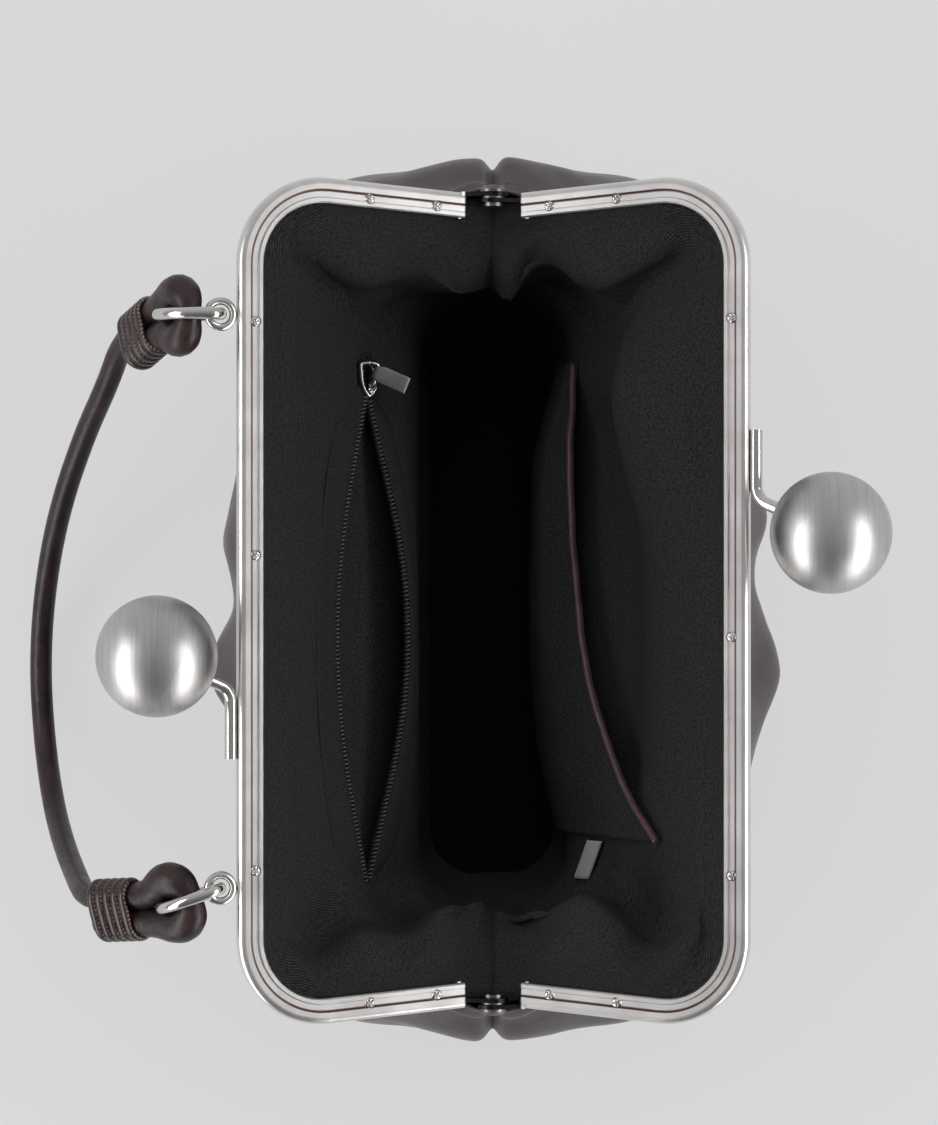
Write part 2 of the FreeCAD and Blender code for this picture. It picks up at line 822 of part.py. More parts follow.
# The arch of the handle from the upper winding down to the floor and up to the lower winding
ARCH = [
    Vector(-117.5, 66.5, 61.0),
    Vector(-126.5, 51.0, 44.5),
    Vector(-136.3, 28.0, 26.5),
    Vector(-142.6, 3.5, 11.0),
    Vector(-145.0, -22.0, 4.1),
    Vector(-143.0, -46.0, 8.5),
    Vector(-138.8, -64.5, 22.0),
    Vector(-133.0, -77.5, 42.0),
    Vector(-126.8, -86.5, 64.0),
]
handle_route = upper_knot + ARCH + list(reversed(lower_knot))
tube("handle_cord", rounded_route("handle_cord", handle_route), handle_radius)


def biarc(start, start_tangent, end, end_tangent):
    """Two arcs from start to end that meet both tangents."""
    span = end - start
    pull = start_tangent + end_tangent
    spread = 2 * (1 - start_tangent.dot(end_tangent))
    ahead = span.dot(pull)
    if spread < 1e-9:
        reach = span.dot(span) / (4 * span.dot(end_tangent))
    else:
        reach = (-ahead + math.sqrt(ahead * ahead + spread * span.dot(span))) / spread
    joint = (start + end + (start_tangent - end_tangent) * reach) * 0.5
    joint_tangent = (end - end_tangent * reach - start - start_tangent * reach).normalize()
    return [arc_or_line(start, joint, start_tangent), arc_or_line(joint, end, joint_tangent)]


def winding(label, end, direction, level):
    """A lace wound round the two strands side by side: half turns and straight crossings."""
    up = direction.cross(level).normalize()
    around = handle_radius + size("lace_clearance").value + lace_radius
    pitch = size("lace_pitch").value
    girth = 2 * math.pi * around + 4 * strand_step
    climb = pitch / girth
    steady = math.sqrt(1 + climb * climb)
    start_at = end + direction * (lace_start + lace_radius)

    def place(side, angle, travelled):
        out = level * math.cos(angle) + up * math.sin(angle)
        tangent = (level * -math.sin(angle) + up * math.cos(angle) + direction * climb) * (1 / steady)
        return start_at + level * side + out * around + direction * climb * travelled, tangent

    edges = []
    travelled = 0.0
    quarter = math.pi / 2
    for half_turn in range(int(round(2 * size("lace_turns").value))):
        side = strand_step if half_turn % 2 == 0 else -strand_step
        angle = -quarter + half_turn * math.pi
        for step in range(2):
            first = place(side, angle + step * quarter, travelled)
            travelled += around * quarter
            last = place(side, angle + (step + 1) * quarter, travelled)
            edges += biarc(first[0], first[1], last[0], last[1])
        crossing = last[0] + last[1] * (2 * strand_step * steady)
        edges.append(Part.LineSegment(last[0], crossing).toShape())
        travelled += 2 * strand_step
    wire = Part.Wire(edges)
    node = tube(label, wire, lace_radius)
    samples = wire.discretize(Number=400)
    apart = int(400 * 0.5 / size("lace_turns").value)
    least = min((samples[i] - samples[j]).Length for i in range(400) for j in range(i + apart, 400))
    print(label, "least gap to itself", round(least - 2 * lace_radius, 3))
    return node


winding("upper_wrap", UPPER_WRAP_END, UPPER_WRAP_DIRECTION, upper_level)
winding("lower_wrap", LOWER_WRAP_END, LOWER_WRAP_DIRECTION, lower_level)

# Body of the bag: heights, half width, half length and corner radius of each level
soft = size("soft_gap")
leather = size("leather")
wall_foot = size("base_leather") + soft


def level(name):
    """The size of the body at one of its named levels."""
    return tuple(size(name + part) for part in ("_height", "_half_width", "_half_length", "_corner"))


def on_frame(inset, below):
    """How far out and how high a line on the open frame lies, from its inset and its depth below the face."""
    angle = size("open_angle")
    along = rail - inset
    out = along * sine(angle) + below * cosine(angle)
    return out, size("hinge_height") + along * cosine(angle) - below * sine(angle)


lining_face = inner_leaf + size("tuck_gap")
leather_face = lining_face + size("cloth_tuck") + size("tuck_gap")
leather_tuck_end = size("leather_rim_inset") + size("leather_tuck_reach")
lining_rim_inset = leather_tuck_end + size("lining_rim_step")
cloth_tuck_end = lining_rim_inset + size("cloth_tuck_reach")

rim_out, rim_high = on_frame(size("leather_rim_inset"), leather_face + size("leather_tuck") / 2)
end_length = half - size("leather_end_inset")
LEATHER_LEVELS = [
    (wall_foot, size("base_half_width"), size("base_half_length"), size("base_corner")),
    level("foot"),
    level("swell"),
    level("belly"),
    (size("hinge_height") - size("neck_drop"), size("neck_half_width"),
     bar_y(dim(0)) - size("neck_end_inset"), size("neck_corner")),
    (rim_high - size("throat_drop"), rim_out + size("throat_swell"), end_length, size("throat_corner")),
    (rim_high + size("brim_rise"), rim_out - size("brim_draw"), end_length, size("brim_corner")),
]

board_top = size("base_leather") + size("board_thickness")
lining_foot = board_top + size("cloth") + soft
lining_out, lining_high = on_frame(lining_rim_inset, lining_face + size("cloth_tuck") / 2)
lining_bend = level("lining_bend")
lining_lean = (lining_out - lining_bend[1]) / (lining_high - lining_bend[0])
LINING_LEVELS = [
    (lining_foot, size("lining_floor_half_width"), size("lining_floor_half_length"),
     size("lining_floor_corner")),
    lining_bend,
    (lining_high + size("brim_rise"), lining_out + lining_lean * size("brim_rise"),
     half - size("lining_end_inset"), size("lining_brim_corner")),
]


def level_outline(sketch, half_width, half_length, corner_radius, seam):
    """Half of a rounded rectangle on the front side of the seam."""
    points = [
        (seam, -half_length),
        (seam, half_length),
        (corner_radius - half_width, half_length),
        (-half_width, half_length - corner_radius),
        (-half_width, corner_radius - half_length),
        (corner_radius - half_width, -half_length),
    ]
    outline(sketch, points, {2: (corner_radius, 1), 4: (corner_radius, 1)})


def half_shell(label, levels, inset, thickness, ruled):
    """A front half wall lofted through the levels, open above, below and at the seam."""
    body = new_body(label)
    for kind, inner in (("PartDesign::AdditiveLoft", False), ("PartDesign::SubtractiveLoft", True)):
        tag = label + ("_inner" if inner else "_outer")
        back = inset + thickness if inner else inset
        seam = leather * 4 if inner else -soft / 2
        sketches = []
        for number, (height, half_width, half_length, corner_radius) in enumerate(levels):
            sketch = new_sketch(body, "%s_%d" % (tag, number), "XY_Plane", height)
            level_outline(sketch, half_width - back, half_length - back, corner_radius - back, seam)
            sketches.append(sketch)
        loft = body.newObject(kind, tag + "_loft")
        loft.Profile = sketches[0]
        loft.Sections = sketches[1:]
        loft.Ruled = ruled
    return body


def tuck(label, near_face, thickness, reach):
    """The edge of a panel that is tucked into the frame's channel."""
    body = new_body(label)
    path = frame_path(body, label + "_path", size("bar_end") + size("tongue_lap") + soft)
    section = new_sketch(body, label + "_section", "XZ_Plane")
    start = size("tuck_start")
    corners = [(near_face, start), (near_face, reach), (near_face + thickness, reach),
               (near_face + thickness, start)]
    outline(section, [(-w, rail - a) for w, a in corners])
    strip = pipe(body, label + "_strip", section, path)
    mirror(body, label + "_mirror", [strip], "XZ_Plane")
    body.Placement = FRONT
    return body


def above_plane(label, face_depth):
    """Everything on the mouth side of a plane parallel to the open front half."""
    block = doc.addObject("Part::Box", label)
    block.setExpression("Length", "sizes.rail_height * 2")
    block.setExpression("Width", "sizes.rail_half_length * 4")
    block.setExpression("Height", "sizes.rail_height * 4")
    corner_at = Vector(-face_depth.value, -2 * half.value, -2 * rail.value)
    block.Placement = FRONT.multiply(Placement(corner_at, Rotation()))
    return block


def screw_clearance(label, screws):
    """Punched holes for the screws."""
    radius = (size("screw_shank_radius") + soft).value
    holes = []
    for y, u in screws:
        at = FRONT.multVec(Vector(0, y.value, u.value))
        along = FRONT.Rotation.multVec(Vector(-1, 0, 0))
        holes.append(Part.makeCylinder(radius, 2 * outer_face.value, at, along))
    return shape_node(label, Part.makeCompound(holes))


def panel(label, levels, thickness, near_face, tuck_thickness, reach, screws, ruled, slot=None):
    """One half of the leather body or of the lining, tucked into its frame half."""
    shell = half_shell(label + "_wall", levels, dim(0), thickness, ruled)
    cut_at = near_face + tuck_thickness / 2
    wall_cut = boolean("Part::Cut", label + "_trimmed", shell, above_plane(label + "_above", cut_at))
    edge = tuck(label + "_tuck", near_face, tuck_thickness, reach)
    joined = boolean("Part::Fuse", label + "_joined", wall_cut, edge)
    if slot is not None:
        joined = boolean("Part::Cut", label + "_slotted", joined, slot)
    return boolean("Part::Cut", label, joined, screw_clearance(label + "_punch", screws))


# Zip frame: X runs down the slope of the front lining, Y along the rail, Z out into the mouth
lining_angle = math.degrees(math.atan2(1.0, lining_lean.value))


def lining_x(height):
    """How far out the outer face of the lining stands at a height."""
    above_bend = height - lining_bend[0].value
    if above_bend >= 0:
        return lining_bend[1].value + above_bend * lining_lean.value
    foot_lean = (lining_bend[1] - LINING_LEVELS[0][1]) / (lining_bend[0] - LINING_LEVELS[0][0])
    return lining_bend[1].value + above_bend * foot_lean.value


def on_lining(height):
    """A place on the inner face of the front lining, its X axis down the slope."""
    x = size("cloth").value - lining_x(height)
    return Placement(Vector(x, 0, height), Rotation(Vector(0, 1, 0), lining_angle))


ZIP = on_lining(size("zip_height").value)


def zip_slot():
    """The window in the front lining that the zip is sewn into."""
    block = doc.addObject("Part::Box", "zip_slot")
    block.setExpression("Length", "sizes.zip_slot_up + sizes.zip_slot_down")
    block.setExpression("Width", "sizes.zip_top_end + sizes.zip_low_end + sizes.zip_slot_margin * 2")
    block.setExpression("Height", "sizes.cloth * 6")
    low_end = size("zip_low_end") + size("zip_slot_margin")
    corner_at = Vector(-size("zip_slot_up").value, -low_end.value, -3 * size("cloth").value)
    block.Placement = ZIP.multiply(Placement(corner_at, Rotation()))
    return block


cloth = size("cloth")
front_panel = panel("front_panel", LEATHER_LEVELS, leather, leather_face, size("leather_tuck"),
                    leather_tuck_end, FRONT_SCREWS, False)
front_lining = panel("front_lining", LINING_LEVELS, cloth, lining_face, size("cloth_tuck"),
                     cloth_tuck_end, FRONT_SCREWS, True, zip_slot())
rear_panel = panel("rear_panel", LEATHER_LEVELS, leather, leather_face, size("leather_tuck"),
                   leather_tuck_end, REAR_SCREWS, False)
rear_lining = panel("rear_lining", LINING_LEVELS, cloth, lining_face, size("cloth_tuck"),
                    cloth_tuck_end, REAR_SCREWS, True)
rear_panel.Placement = TURN_ROUND
rear_lining.Placement = TURN_ROUND


def plate(label, half_width, half_length, corner_radius, low, thickness):
    """A flat rounded rectangle."""
    body = new_body(label)
    sketch = new_sketch(body, label + "_outline", "XY_Plane", low)
    across = half_width - corner_radius
    along = half_length - corner_radius
    points = [(-across, -half_length), (across, -half_length), (half_width, -along), (half_width, along),
              (across, half_length), (-across, half_length), (-half_width, along), (-half_width, -along)]
    outline(sketch, points, {i: (corner_radius, 1) for i in (1, 3, 5, 7)})
    pad(body, label + "_pad", sketch, thickness)
    return body


base_half_width = size("base_half_width")
base_half_length = size("base_half_length")
base_corner = size("base_corner")
plate("base_panel", base_half_width, base_half_length, base_corner, dim(0), size("base_leather"))
board_inset = leather + size("stiffener_thickness") + soft * 2
plate("base_board", base_half_width - board_inset, base_half_length - board_inset, base_corner - board_inset,
      size("base_leather"), size("board_thickness"))
margin = size("lining_floor_margin")
plate("lining_base", size("lining_floor_half_width") + margin, size("lining_floor_half_length") + margin,
      size("lining_floor_corner") + margin, board_top, cloth)


def wall_stiffener():
    """A low standing wall of board between the leather and the lining, in two halves."""
    shell = half_shell("stiffener_wall", LEATHER_LEVELS, leather + soft, size("stiffener_thickness"), False)
    low = doc.addObject("Part::Box", "stiffener_reach")
    low.setExpression("Length", "sizes.rail_half_length * 2")
    low.setExpression("Width", "sizes.rail_half_length * 4")
    low.setExpression("Height", "sizes.stiffener_height")
    low.Placement = Placement(Vector(-2 * half.value, -2 * half.value, 0), Rotation())
    return boolean("Part::Common", "stiffener_half", shell, low)


stiffener_half = wall_stiffener()
doc.recompute()
copies("wall_stiffener", stiffener_half, [Placement(), TURN_ROUND])


# Zip pocket, its tapes and coils, and the slider
def zip_pocket():
    """The pouch that hangs behind the zip, open along the slot in the lining."""
    body = new_body("zip_pocket")
    low = size("zip_low_end")
    top = size("zip_top_end")
    skin = size("pocket_cloth")
    foot = size("pouch_foot")
    back_foot = foot + size("pouch_foot_rise")
    heights = [size("zip_height") + size("pouch_above_zip"), size("zip_height") - size("pouch_below_zip")]
    edges = [-lining_x(height.value) - size("pouch_stand_off") for height in heights]
    back = -size("pouch_back")
    front = -size("pouch_front")
    outer = [(edges[0], heights[0]), (back, back_foot), (front, foot), (edges[1], heights[1])]
    section = new_sketch(body, "zip_pocket_outline", "XZ_Plane", -top)
    outline(section, outer)
    pad(body, "zip_pocket_pad", section, low + top)
    past_top = heights[0] + skin * 8
    inside = [(edges[0] + skin, past_top), (back + skin, back_foot + skin), (front - skin, foot + skin),
              (edges[1] - skin, past_top)]
    hollow = new_sketch(body, "zip_pocket_hollow_outline", "XZ_Plane", low - skin)
    outline(hollow, inside)
    pocket(body, "zip_pocket_hollow", hollow, low + top - skin * 2)
    return body


zip_pocket()
gape_middle = (size("zip_top_end") - size("zip_low_end")).value / 2
slider_y = (size("zip_top_end") - size("slider_from_end")).value
chain_top = slider_y - (size("slider_length") / 2 + soft).value
chain_low = (size("zip_chain_end") - size("zip_low_end")).value
coil_radius = size("zip_coil_radius").value
tape = size("zip_tape").value


def lip(side, out):
    """The three points of a zip lip: by the slider, at the widest gape and by the stop."""
    start = math.copysign(size("zip_chain_half").value, side)
    return [Vector(start, chain_top, 0), Vector(side, gape_middle, out), Vector(start, chain_low, 0)]


def zip_half(name, side, out, edge):
    """A coil along a lip, and the tape from the coil to the edge of the slot."""
    points = [ZIP.multVec(point) for point in lip(side, out)]
    arc = Part.Arc(*points).toShape()
    tube(name + "_zip_coil", Part.Wire([arc]), coil_radius)
    step = math.copysign(coil_radius + soft.value, side)
    near = Part.Arc(*[ZIP.multVec(point + Vector(step, 0, 0)) for point in lip(side, out)]).toShape()
    ends = [ZIP.multVec(Vector(edge, y, soft.value)) for y in (chain_top, chain_low)]
    far = Part.LineSegment(*ends).toShape()
    sheet_face = Part.makeRuledSurface(near, far)
    lift = ZIP.Rotation.multVec(Vector(0, 0, tape))
    shape_node(name + "_zip_tape", sheet_face.extrude(lift))


tape_margin = size("zip_tape_margin")
zip_half("upper", -size("zip_gape_up").value, 0.0, -(size("zip_slot_up") + tape_margin).value)
zip_half("lower", size("zip_gape_down").value, size("zip_gape_out").value,
         (size("zip_slot_down") + tape_margin).value)


def zip_stops():
    """The stop behind the slider and the stop at the far end of the chain."""
    thick = 2 * coil_radius
    across = size("zip_stop_width").value
    along = size("zip_stop_length").value
    clear = size("zip_stop_gap").value
    solids = []
    for y in (slider_y + size("slider_length").value / 2 + clear, chain_low - clear - along):
        block = Part.makeBox(across, along, thick, Vector(-across / 2, y, -thick / 2))
        block.Placement = ZIP.multiply(block.Placement)
        solids.append(block)
    return shape_node("zip_stops", Part.makeCompound(solids))


zip_stops()
SLIDER = ZIP.multiply(Placement(Vector(0, slider_y, 0), Rotation()))


def zip_slider():
    """Two plates with a wedge between them and a bail along the top."""
    body = new_body("zip_slider")
    length = size("slider_length")
    width = size("slider_width")
    skin = size("slider_plate")
    throat = size("slider_throat")
    front = -length / 2
    back = length / 2
    shape = [(-width / 2, front), (width / 2, front), (width / 2, dim(0)), (width * 0.34, back),
             (-width * 0.34, back), (-width / 2, dim(0))]
    for name, low in (("lower", -throat / 2 - skin), ("upper", throat / 2)):
        sketch = new_sketch(body, "zip_slider_%s_outline" % name, "XY_Plane", low)
        outline(sketch, shape)
        if name == "lower":
            pad(body, "zip_slider_lower_plate", sketch, skin)
            wedge = new_sketch(body, "zip_slider_wedge_outline", "XY_Plane", -throat / 2)
            broad = size("wedge_half_width")
            tip = size("wedge_tip")
            tip_at = front + length * 0.4
            outline(wedge, [(-broad, front), (broad, front), (tip, tip_at), (-tip, tip_at)])
            pad(body, "zip_slider_wedge", wedge, throat)
        else:
            pad(body, "zip_slider_upper_plate", sketch, skin)
    top = throat / 2 + skin
    bar = size("bail_radius")
    bail_low = top + size("bail_rise") - bar
    bail_high = top + size("bail_rise") + bar
    reach = size("bail_length") / 2
    legs = new_sketch(body, "zip_slider_bail_outline", "YZ_Plane")
    outline(legs, [(-reach, top - skin / 2), (-reach + bar * 2, top - skin / 2), (-reach + bar * 2, bail_low),
                   (reach - bar * 2, bail_low), (reach - bar * 2, top - skin / 2), (reach, top - skin / 2),
                   (reach, bail_high), (-reach, bail_high)])
    pad(body, "zip_slider_bail", legs, bar * 2, middle=True)
    body.Placement = SLIDER
    return body


def zip_pull():
    """A flat tab with an eye round the slider's bail."""
    body = new_body("zip_pull")
    eye = size("pull_eye_radius")
    bore = size("bail_radius") * math.sqrt(2) + size("pull_eye_clearance")
    knuckle = size("bail_radius") * 2.4
    long_way = size("pull_length")
    wide = size("pull_width") / 2
    thick = size("pull_thickness")
    skew = size("pull_skew")
    eye_sketch = new_sketch(body, "zip_pull_eye_outline", "XZ_Plane")
    circles(eye_sketch, [(dim(0), dim(0))], eye)
    pad(body, "zip_pull_eye", eye_sketch, knuckle, middle=True)
    tab = new_sketch(body, "zip_pull_tab_outline", "XY_Plane")
    neck = knuckle / 2
    start = eye * 0.8
    shoulder = start + 1.4
    outline(tab, [(start, -neck), (shoulder, -wide - skew * 0.2), (long_way, -wide - skew),
                  (long_way, wide - skew), (shoulder, wide - skew * 0.2), (start, neck)])
    pad(body, "zip_pull_tab", tab, thick, middle=True)
    bore_sketch = new_sketch(body, "zip_pull_bore_outline", "XZ_Plane")
    circles(bore_sketch, [(dim(0), dim(0))], bore)
    pocket(body, "zip_pull_bore", bore_sketch, knuckle * 2, middle=True)
    bail_axis = (size("slider_throat") / 2 + size("slider_plate") + size("bail_rise")).value
    lifted = Placement(Vector(0, 0, bail_axis), Rotation(Vector(0, 1, 0), -size("pull_lift").value))
    body.Placement = SLIDER.multiply(lifted)
    return body


zip_slider()
pull = zip_pull()
print("pull turns about", [round(value, 3) for value in pull.Placement.Base])

# Slip pocket on the rear lining, sewn to it at both ends: where each section lies along Y, how high its
# top edge is, and how far the top edge, the knee and the foot stand off the lining
SLIP_SECTIONS = [
    (73.0, 48.5, 1.0, 1.0, 1.0),
    (45.0, 54.0, 5.7, 8.5, 7.5),
    (12.0, 55.0, 5.1, 9.8, 9.0),
    (-25.0, 60.0, 3.7, 9.0, 8.5),
    (-54.6, 72.0, 2.2, 5.0, 5.0),
    (-72.4, 86.0, 1.0, 1.0, 1.0),
]


def off_lining(stand_off, height):
    """How far out a point that stands off the inner face of the lining is."""
    return lining_x(height) - size("cloth").value - stand_off


def slip_pocket():
    """A sheet of cloth that stands a little off the rear lining; returns its top edge."""
    body = new_body("slip_pocket")
    skin = size("pocket_cloth")
    knee_z = lining_bend[0]
    foot_z = size("slip_foot_height")
    sketches = []
    top_edge = []
    for number, (y, edge_z, edge_off, knee_off, foot_off) in enumerate(SLIP_SECTIONS):
        sketch = new_sketch(body, "slip_pocket_%d" % number, "XZ_Plane", dim(-y))
        foot_x = off_lining(foot_off, foot_z.value)
        knee_x = off_lining(knee_off, knee_z.value)
        edge_x = off_lining(edge_off, edge_z)
        outline(sketch, [(foot_x, foot_z), (skin + foot_x, foot_z), (skin + knee_x, knee_z),
                         (skin + edge_x, edge_z), (edge_x, edge_z), (knee_x, knee_z)])
        sketches.append(sketch)
        top_edge.append(Vector(edge_x, y, edge_z))
    loft = body.newObject("PartDesign::AdditiveLoft", "slip_pocket_loft")
    loft.Profile = sketches[0]
    loft.Sections = sketches[1:]
    loft.Ruled = True
    return top_edge


slip_edge = slip_pocket()
piping_radius = size("piping_radius").value
over_edge = Vector(-piping_radius / 2, 0, piping_radius + soft.value * 2)
piping_route = [edge + over_edge for edge in slip_edge]
tube("slip_pocket_piping", rounded_route("slip_pocket_piping", piping_route), piping_radius)


def seam_tab():
    """A blank tab sewn to the rear lining near its lower corner."""
    block = doc.addObject("Part::Box", "seam_tab")
    block.Label = "seam_tab"
    block.setExpression("Length", "sizes.tab_height")
    block.setExpression("Width", "sizes.tab_length")
    block.setExpression("Height", "sizes.tab_thickness")
    seat = Placement(Vector(0, size("tab_offset").value, soft.value), Rotation())
    on_wall = on_lining(size("tab_height_on_wall").value)
    block.Placement = TURN_ROUND.multiply(on_wall).multiply(seat)
    return block


seam_tab()

NODES = [
    "base_panel", "base_board", "wall_stiffener", "lining_base", "front_panel", "rear_panel",
    "front_lining", "rear_lining", "zip_pocket", "upper_zip_tape", "lower_zip_tape", "upper_zip_coil",
    "lower_zip_coil", "zip_stops", "zip_slider", "zip_pull", "slip_pocket", "slip_pocket_piping",
    "seam_tab", "front_frame", "rear_frame", "front_frame_screws", "rear_frame_screws", "front_stem",
    "rear_stem", "front_ball", "rear_ball", "hinge_rivets", "hinge_washers", "handle_eyelets",
    "upper_ring", "lower_ring", "handle_cord", "upper_wrap", "lower_wrap",
]

doc.recompute()
for obj in doc.Objects:
    if "Invalid" in obj.State or "Error" in obj.State:
        raise RuntimeError("%s did not rebuild: %s" % (obj.Label, obj.State))
os.makedirs("parts", exist_ok=True)
for name in NODES:
    node = doc.getObjectsByLabel(name)[0]
    if node.Shape.isNull() or not node.Shape.isValid() or not node.Shape.Solids:
        raise RuntimeError("%s has no valid solid" % name)
for name in NODES:
    node = doc.getObjectsByLabel(name)[0]
    node.Shape.exportStep("parts/%s.step" % name)
print("wrote", len(NODES), "nodes")
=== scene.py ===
import math

import bmesh
import bpy
import numpy as np
from mathutils import Matrix, Vector, noise


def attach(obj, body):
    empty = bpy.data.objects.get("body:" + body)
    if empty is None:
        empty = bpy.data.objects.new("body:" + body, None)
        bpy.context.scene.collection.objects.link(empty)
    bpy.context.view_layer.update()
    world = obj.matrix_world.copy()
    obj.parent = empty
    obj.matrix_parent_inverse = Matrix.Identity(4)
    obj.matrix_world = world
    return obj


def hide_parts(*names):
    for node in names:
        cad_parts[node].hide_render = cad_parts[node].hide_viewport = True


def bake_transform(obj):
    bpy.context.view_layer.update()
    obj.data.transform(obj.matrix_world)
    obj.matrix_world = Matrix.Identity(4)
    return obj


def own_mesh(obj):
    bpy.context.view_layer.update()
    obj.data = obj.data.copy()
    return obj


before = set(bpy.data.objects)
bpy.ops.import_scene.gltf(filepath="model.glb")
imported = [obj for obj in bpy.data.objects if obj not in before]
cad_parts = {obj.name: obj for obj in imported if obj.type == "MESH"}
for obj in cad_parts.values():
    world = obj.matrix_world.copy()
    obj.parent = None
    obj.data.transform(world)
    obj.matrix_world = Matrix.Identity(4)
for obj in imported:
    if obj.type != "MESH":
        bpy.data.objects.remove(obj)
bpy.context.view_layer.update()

# Kiss lock frame purse seen from straight above, open on a pale floor
# Sizes are in millimetres, and those of the floor and the lamps in metres.
MM = 0.001
UP = np.array((0.0, 0.0, 1.0))
ALONG = np.array((0.0, 1.0, 0.0))

# Camera: straight down, at the height the photograph's perspective gives
CAMERA_AT = (-7.2, 11.3, 1212.0)
FOCAL_PIXELS = 3762.0
PHOTO_TALL = 1125.0
SENSOR = 36.0

# Frame of the purse, as in the part's source
HINGE_Z = 85.0
OPEN = math.radians(70.0)
RAIL = 79.0
HALF = 125.0
CORNER = 26.0
SLOPE = math.radians(4.0)
BEND_Y = HALF - CORNER + CORNER * math.cos(SLOPE)
BEND_Z = RAIL - CORNER - CORNER * math.sin(SLOPE)

# Wall that carries the zip: a place on it, and the ways down its slope and out of it
ZIP_AT = np.array((-38.7, 0.0, 68.0))
ZIP_DOWN = np.array((0.534, 0.0, -0.845))
ZIP_OUT = np.array((0.845, 0.0, 0.534))
CHAIN_TOP = 61.9
CHAIN_LOW = -85.5
SLIDER_Y = 67.0

# Thickness of the sheets
LINING_THICK = 0.6
LEATHER_THICK = 0.9
GUSSET_THICK = 0.8
STIFFENER_THICK = 1.5
TAPE_THICK = 0.4
POUCH_THICK = 0.5
TAB_THICK = 0.5


# Meshes
def collect(obj):
    bpy.context.scene.collection.objects.link(obj)
    return obj


def mesh_object(name, points, faces, material, uvs=None):
    """A smooth mesh from points in millimetres; uvs gives one pair per point."""
    mesh = bpy.data.meshes.new(name)
    mesh.from_pydata([tuple(p) for p in np.asarray(points) * MM], [], faces)
    if uvs is not None:
        layer = mesh.uv_layers.new(name="sheet")
        corner_points = np.empty(len(mesh.loops), dtype=np.int32)
        mesh.loops.foreach_get("vertex_index", corner_points)
        layer.data.foreach_set("uv", np.asarray(uvs, dtype=np.float32)[corner_points].ravel())
    mesh.polygons.foreach_set("use_smooth", np.ones(len(mesh.polygons), dtype=bool))
    mesh.materials.append(material)
    mesh.update()
    return collect(bpy.data.objects.new(name, mesh))


def grid_faces(rows, cols, wrap=False, keep=None, first=0):
    """Quads of a grid of points numbered from first, without those that keep is false for."""
    faces = []
    for i in range(rows - 1):
        for j in range(cols if wrap else cols - 1):
            if keep is not None and not keep[i, j]:
                continue
            k = (j + 1) % cols
            upper = first + i * cols
            lower = upper + cols
            faces.append((upper + j, upper + k, lower + k, lower + j))
    return faces


def unit(vectors):
    """Vectors along the last axis, brought to length 1."""
    return vectors / np.linalg.norm(vectors, axis=-1, keepdims=True)


def run_along(points):
    """Distances along a line of points, or down each column of a grid of points."""
    steps = np.linalg.norm(np.diff(points, axis=0), axis=-1)
    return np.concatenate([np.zeros_like(steps[:1]), np.cumsum(steps, axis=0)])


def paired(first, second):
    """One pair of values for each point of a grid."""
    return np.stack(np.broadcast_arrays(first, second), axis=2).reshape(-1, 2)


def grid_uvs(points):
    """Distances along one row and down each column of a grid, so that a weave keeps its size."""
    measured_row = points[points.shape[0] // 3]
    return paired(run_along(measured_row)[None, :], run_along(points))


def grid_area(points):
    """The area of a grid of points, in square metres."""
    a = points[1:, 1:] - points[:-1, :-1]
    b = points[1:, :-1] - points[:-1, 1:]
    return float(np.linalg.norm(np.cross(a, b), axis=2).sum() / 2 * MM * MM)


def drop_loose(obj):
    """Deletes the points that no face uses."""
    work = bmesh.new()
    work.from_mesh(obj.data)
    bmesh.ops.delete(work, geom=[v for v in work.verts if not v.link_faces], context="VERTS")
    work.to_mesh(obj.data)
    work.free()


def sheet_object(name, points, material, thick, keep=None):
    """A sheet from a grid of points, with its thickness on both sides."""
    rows, cols = points.shape[:2]
    faces = grid_faces(rows, cols, keep=keep)
    obj = mesh_object(name, points.reshape(-1, 3), faces, material, grid_uvs(points))
    drop_loose(obj)
    solid = obj.modifiers.new("thickness", "SOLIDIFY")
    solid.thickness = thick * MM
    solid.offset = 0.0
    return obj


def oval(half_wide, half_tall, sides):
    """The (aside, up) pairs of an oval section."""
    turns = np.linspace(0, 2 * math.pi, sides, endpoint=False)
    return [(half_wide * math.cos(t), half_tall * math.sin(t)) for t in turns]


def sweep(points, section, up):
    """Rings of points: a section of (aside, up) pairs carried along a line without twist."""
    rings = []
    for point, tangent in zip(points, unit(np.gradient(points, axis=0))):
        up = unit(up - tangent * np.dot(up, tangent))
        aside = np.cross(tangent, up)
        rings.append([point + aside * a + up * b for a, b in section])
    return np.array(rings)


def ring_object(name, rings, material, uvs=None):
    """A tube through rings of points, with a flat cap at each end."""
    rows, cols = rings.shape[:2]
    faces = grid_faces(rows, cols, wrap=True)
    faces.append(tuple(range(cols - 1, -1, -1)))
    faces.append(tuple((rows - 1) * cols + k for k in range(cols)))
    return mesh_object(name, rings.reshape(-1, 3), faces, material, uvs)


def tube_object(name, points, section, material, up):
    """A tube of one section along a line of points."""
    uvs = paired(run_along(points)[:, None], np.linspace(0, 1, len(section))[None, :])
    return ring_object(name, sweep(points, section, up), material, uvs)


def between(a, b, c, d, share):
    """A smooth curve through four points, at a share of the way from the second to the third."""
    bend = 2 * a - 5 * b + 4 * c - d
    twist = 3 * b - 3 * c + d - a
    return 0.5 * (2 * b + (c - a) * share + bend * share ** 2 + twist * share ** 3)


def smooth_rows(curves, count):
    """Rows of points on a smooth surface through the curves."""
    curves = np.array(curves)
    held = np.concatenate([[2 * curves[0] - curves[1]], curves, [2 * curves[-1] - curves[-2]]])
    rows = []
    for t in np.linspace(0, len(curves) - 1, count):
        k = min(int(t), len(curves) - 2)
        rows.append(between(*held[k:k + 4], t - k))
    return np.array(rows)


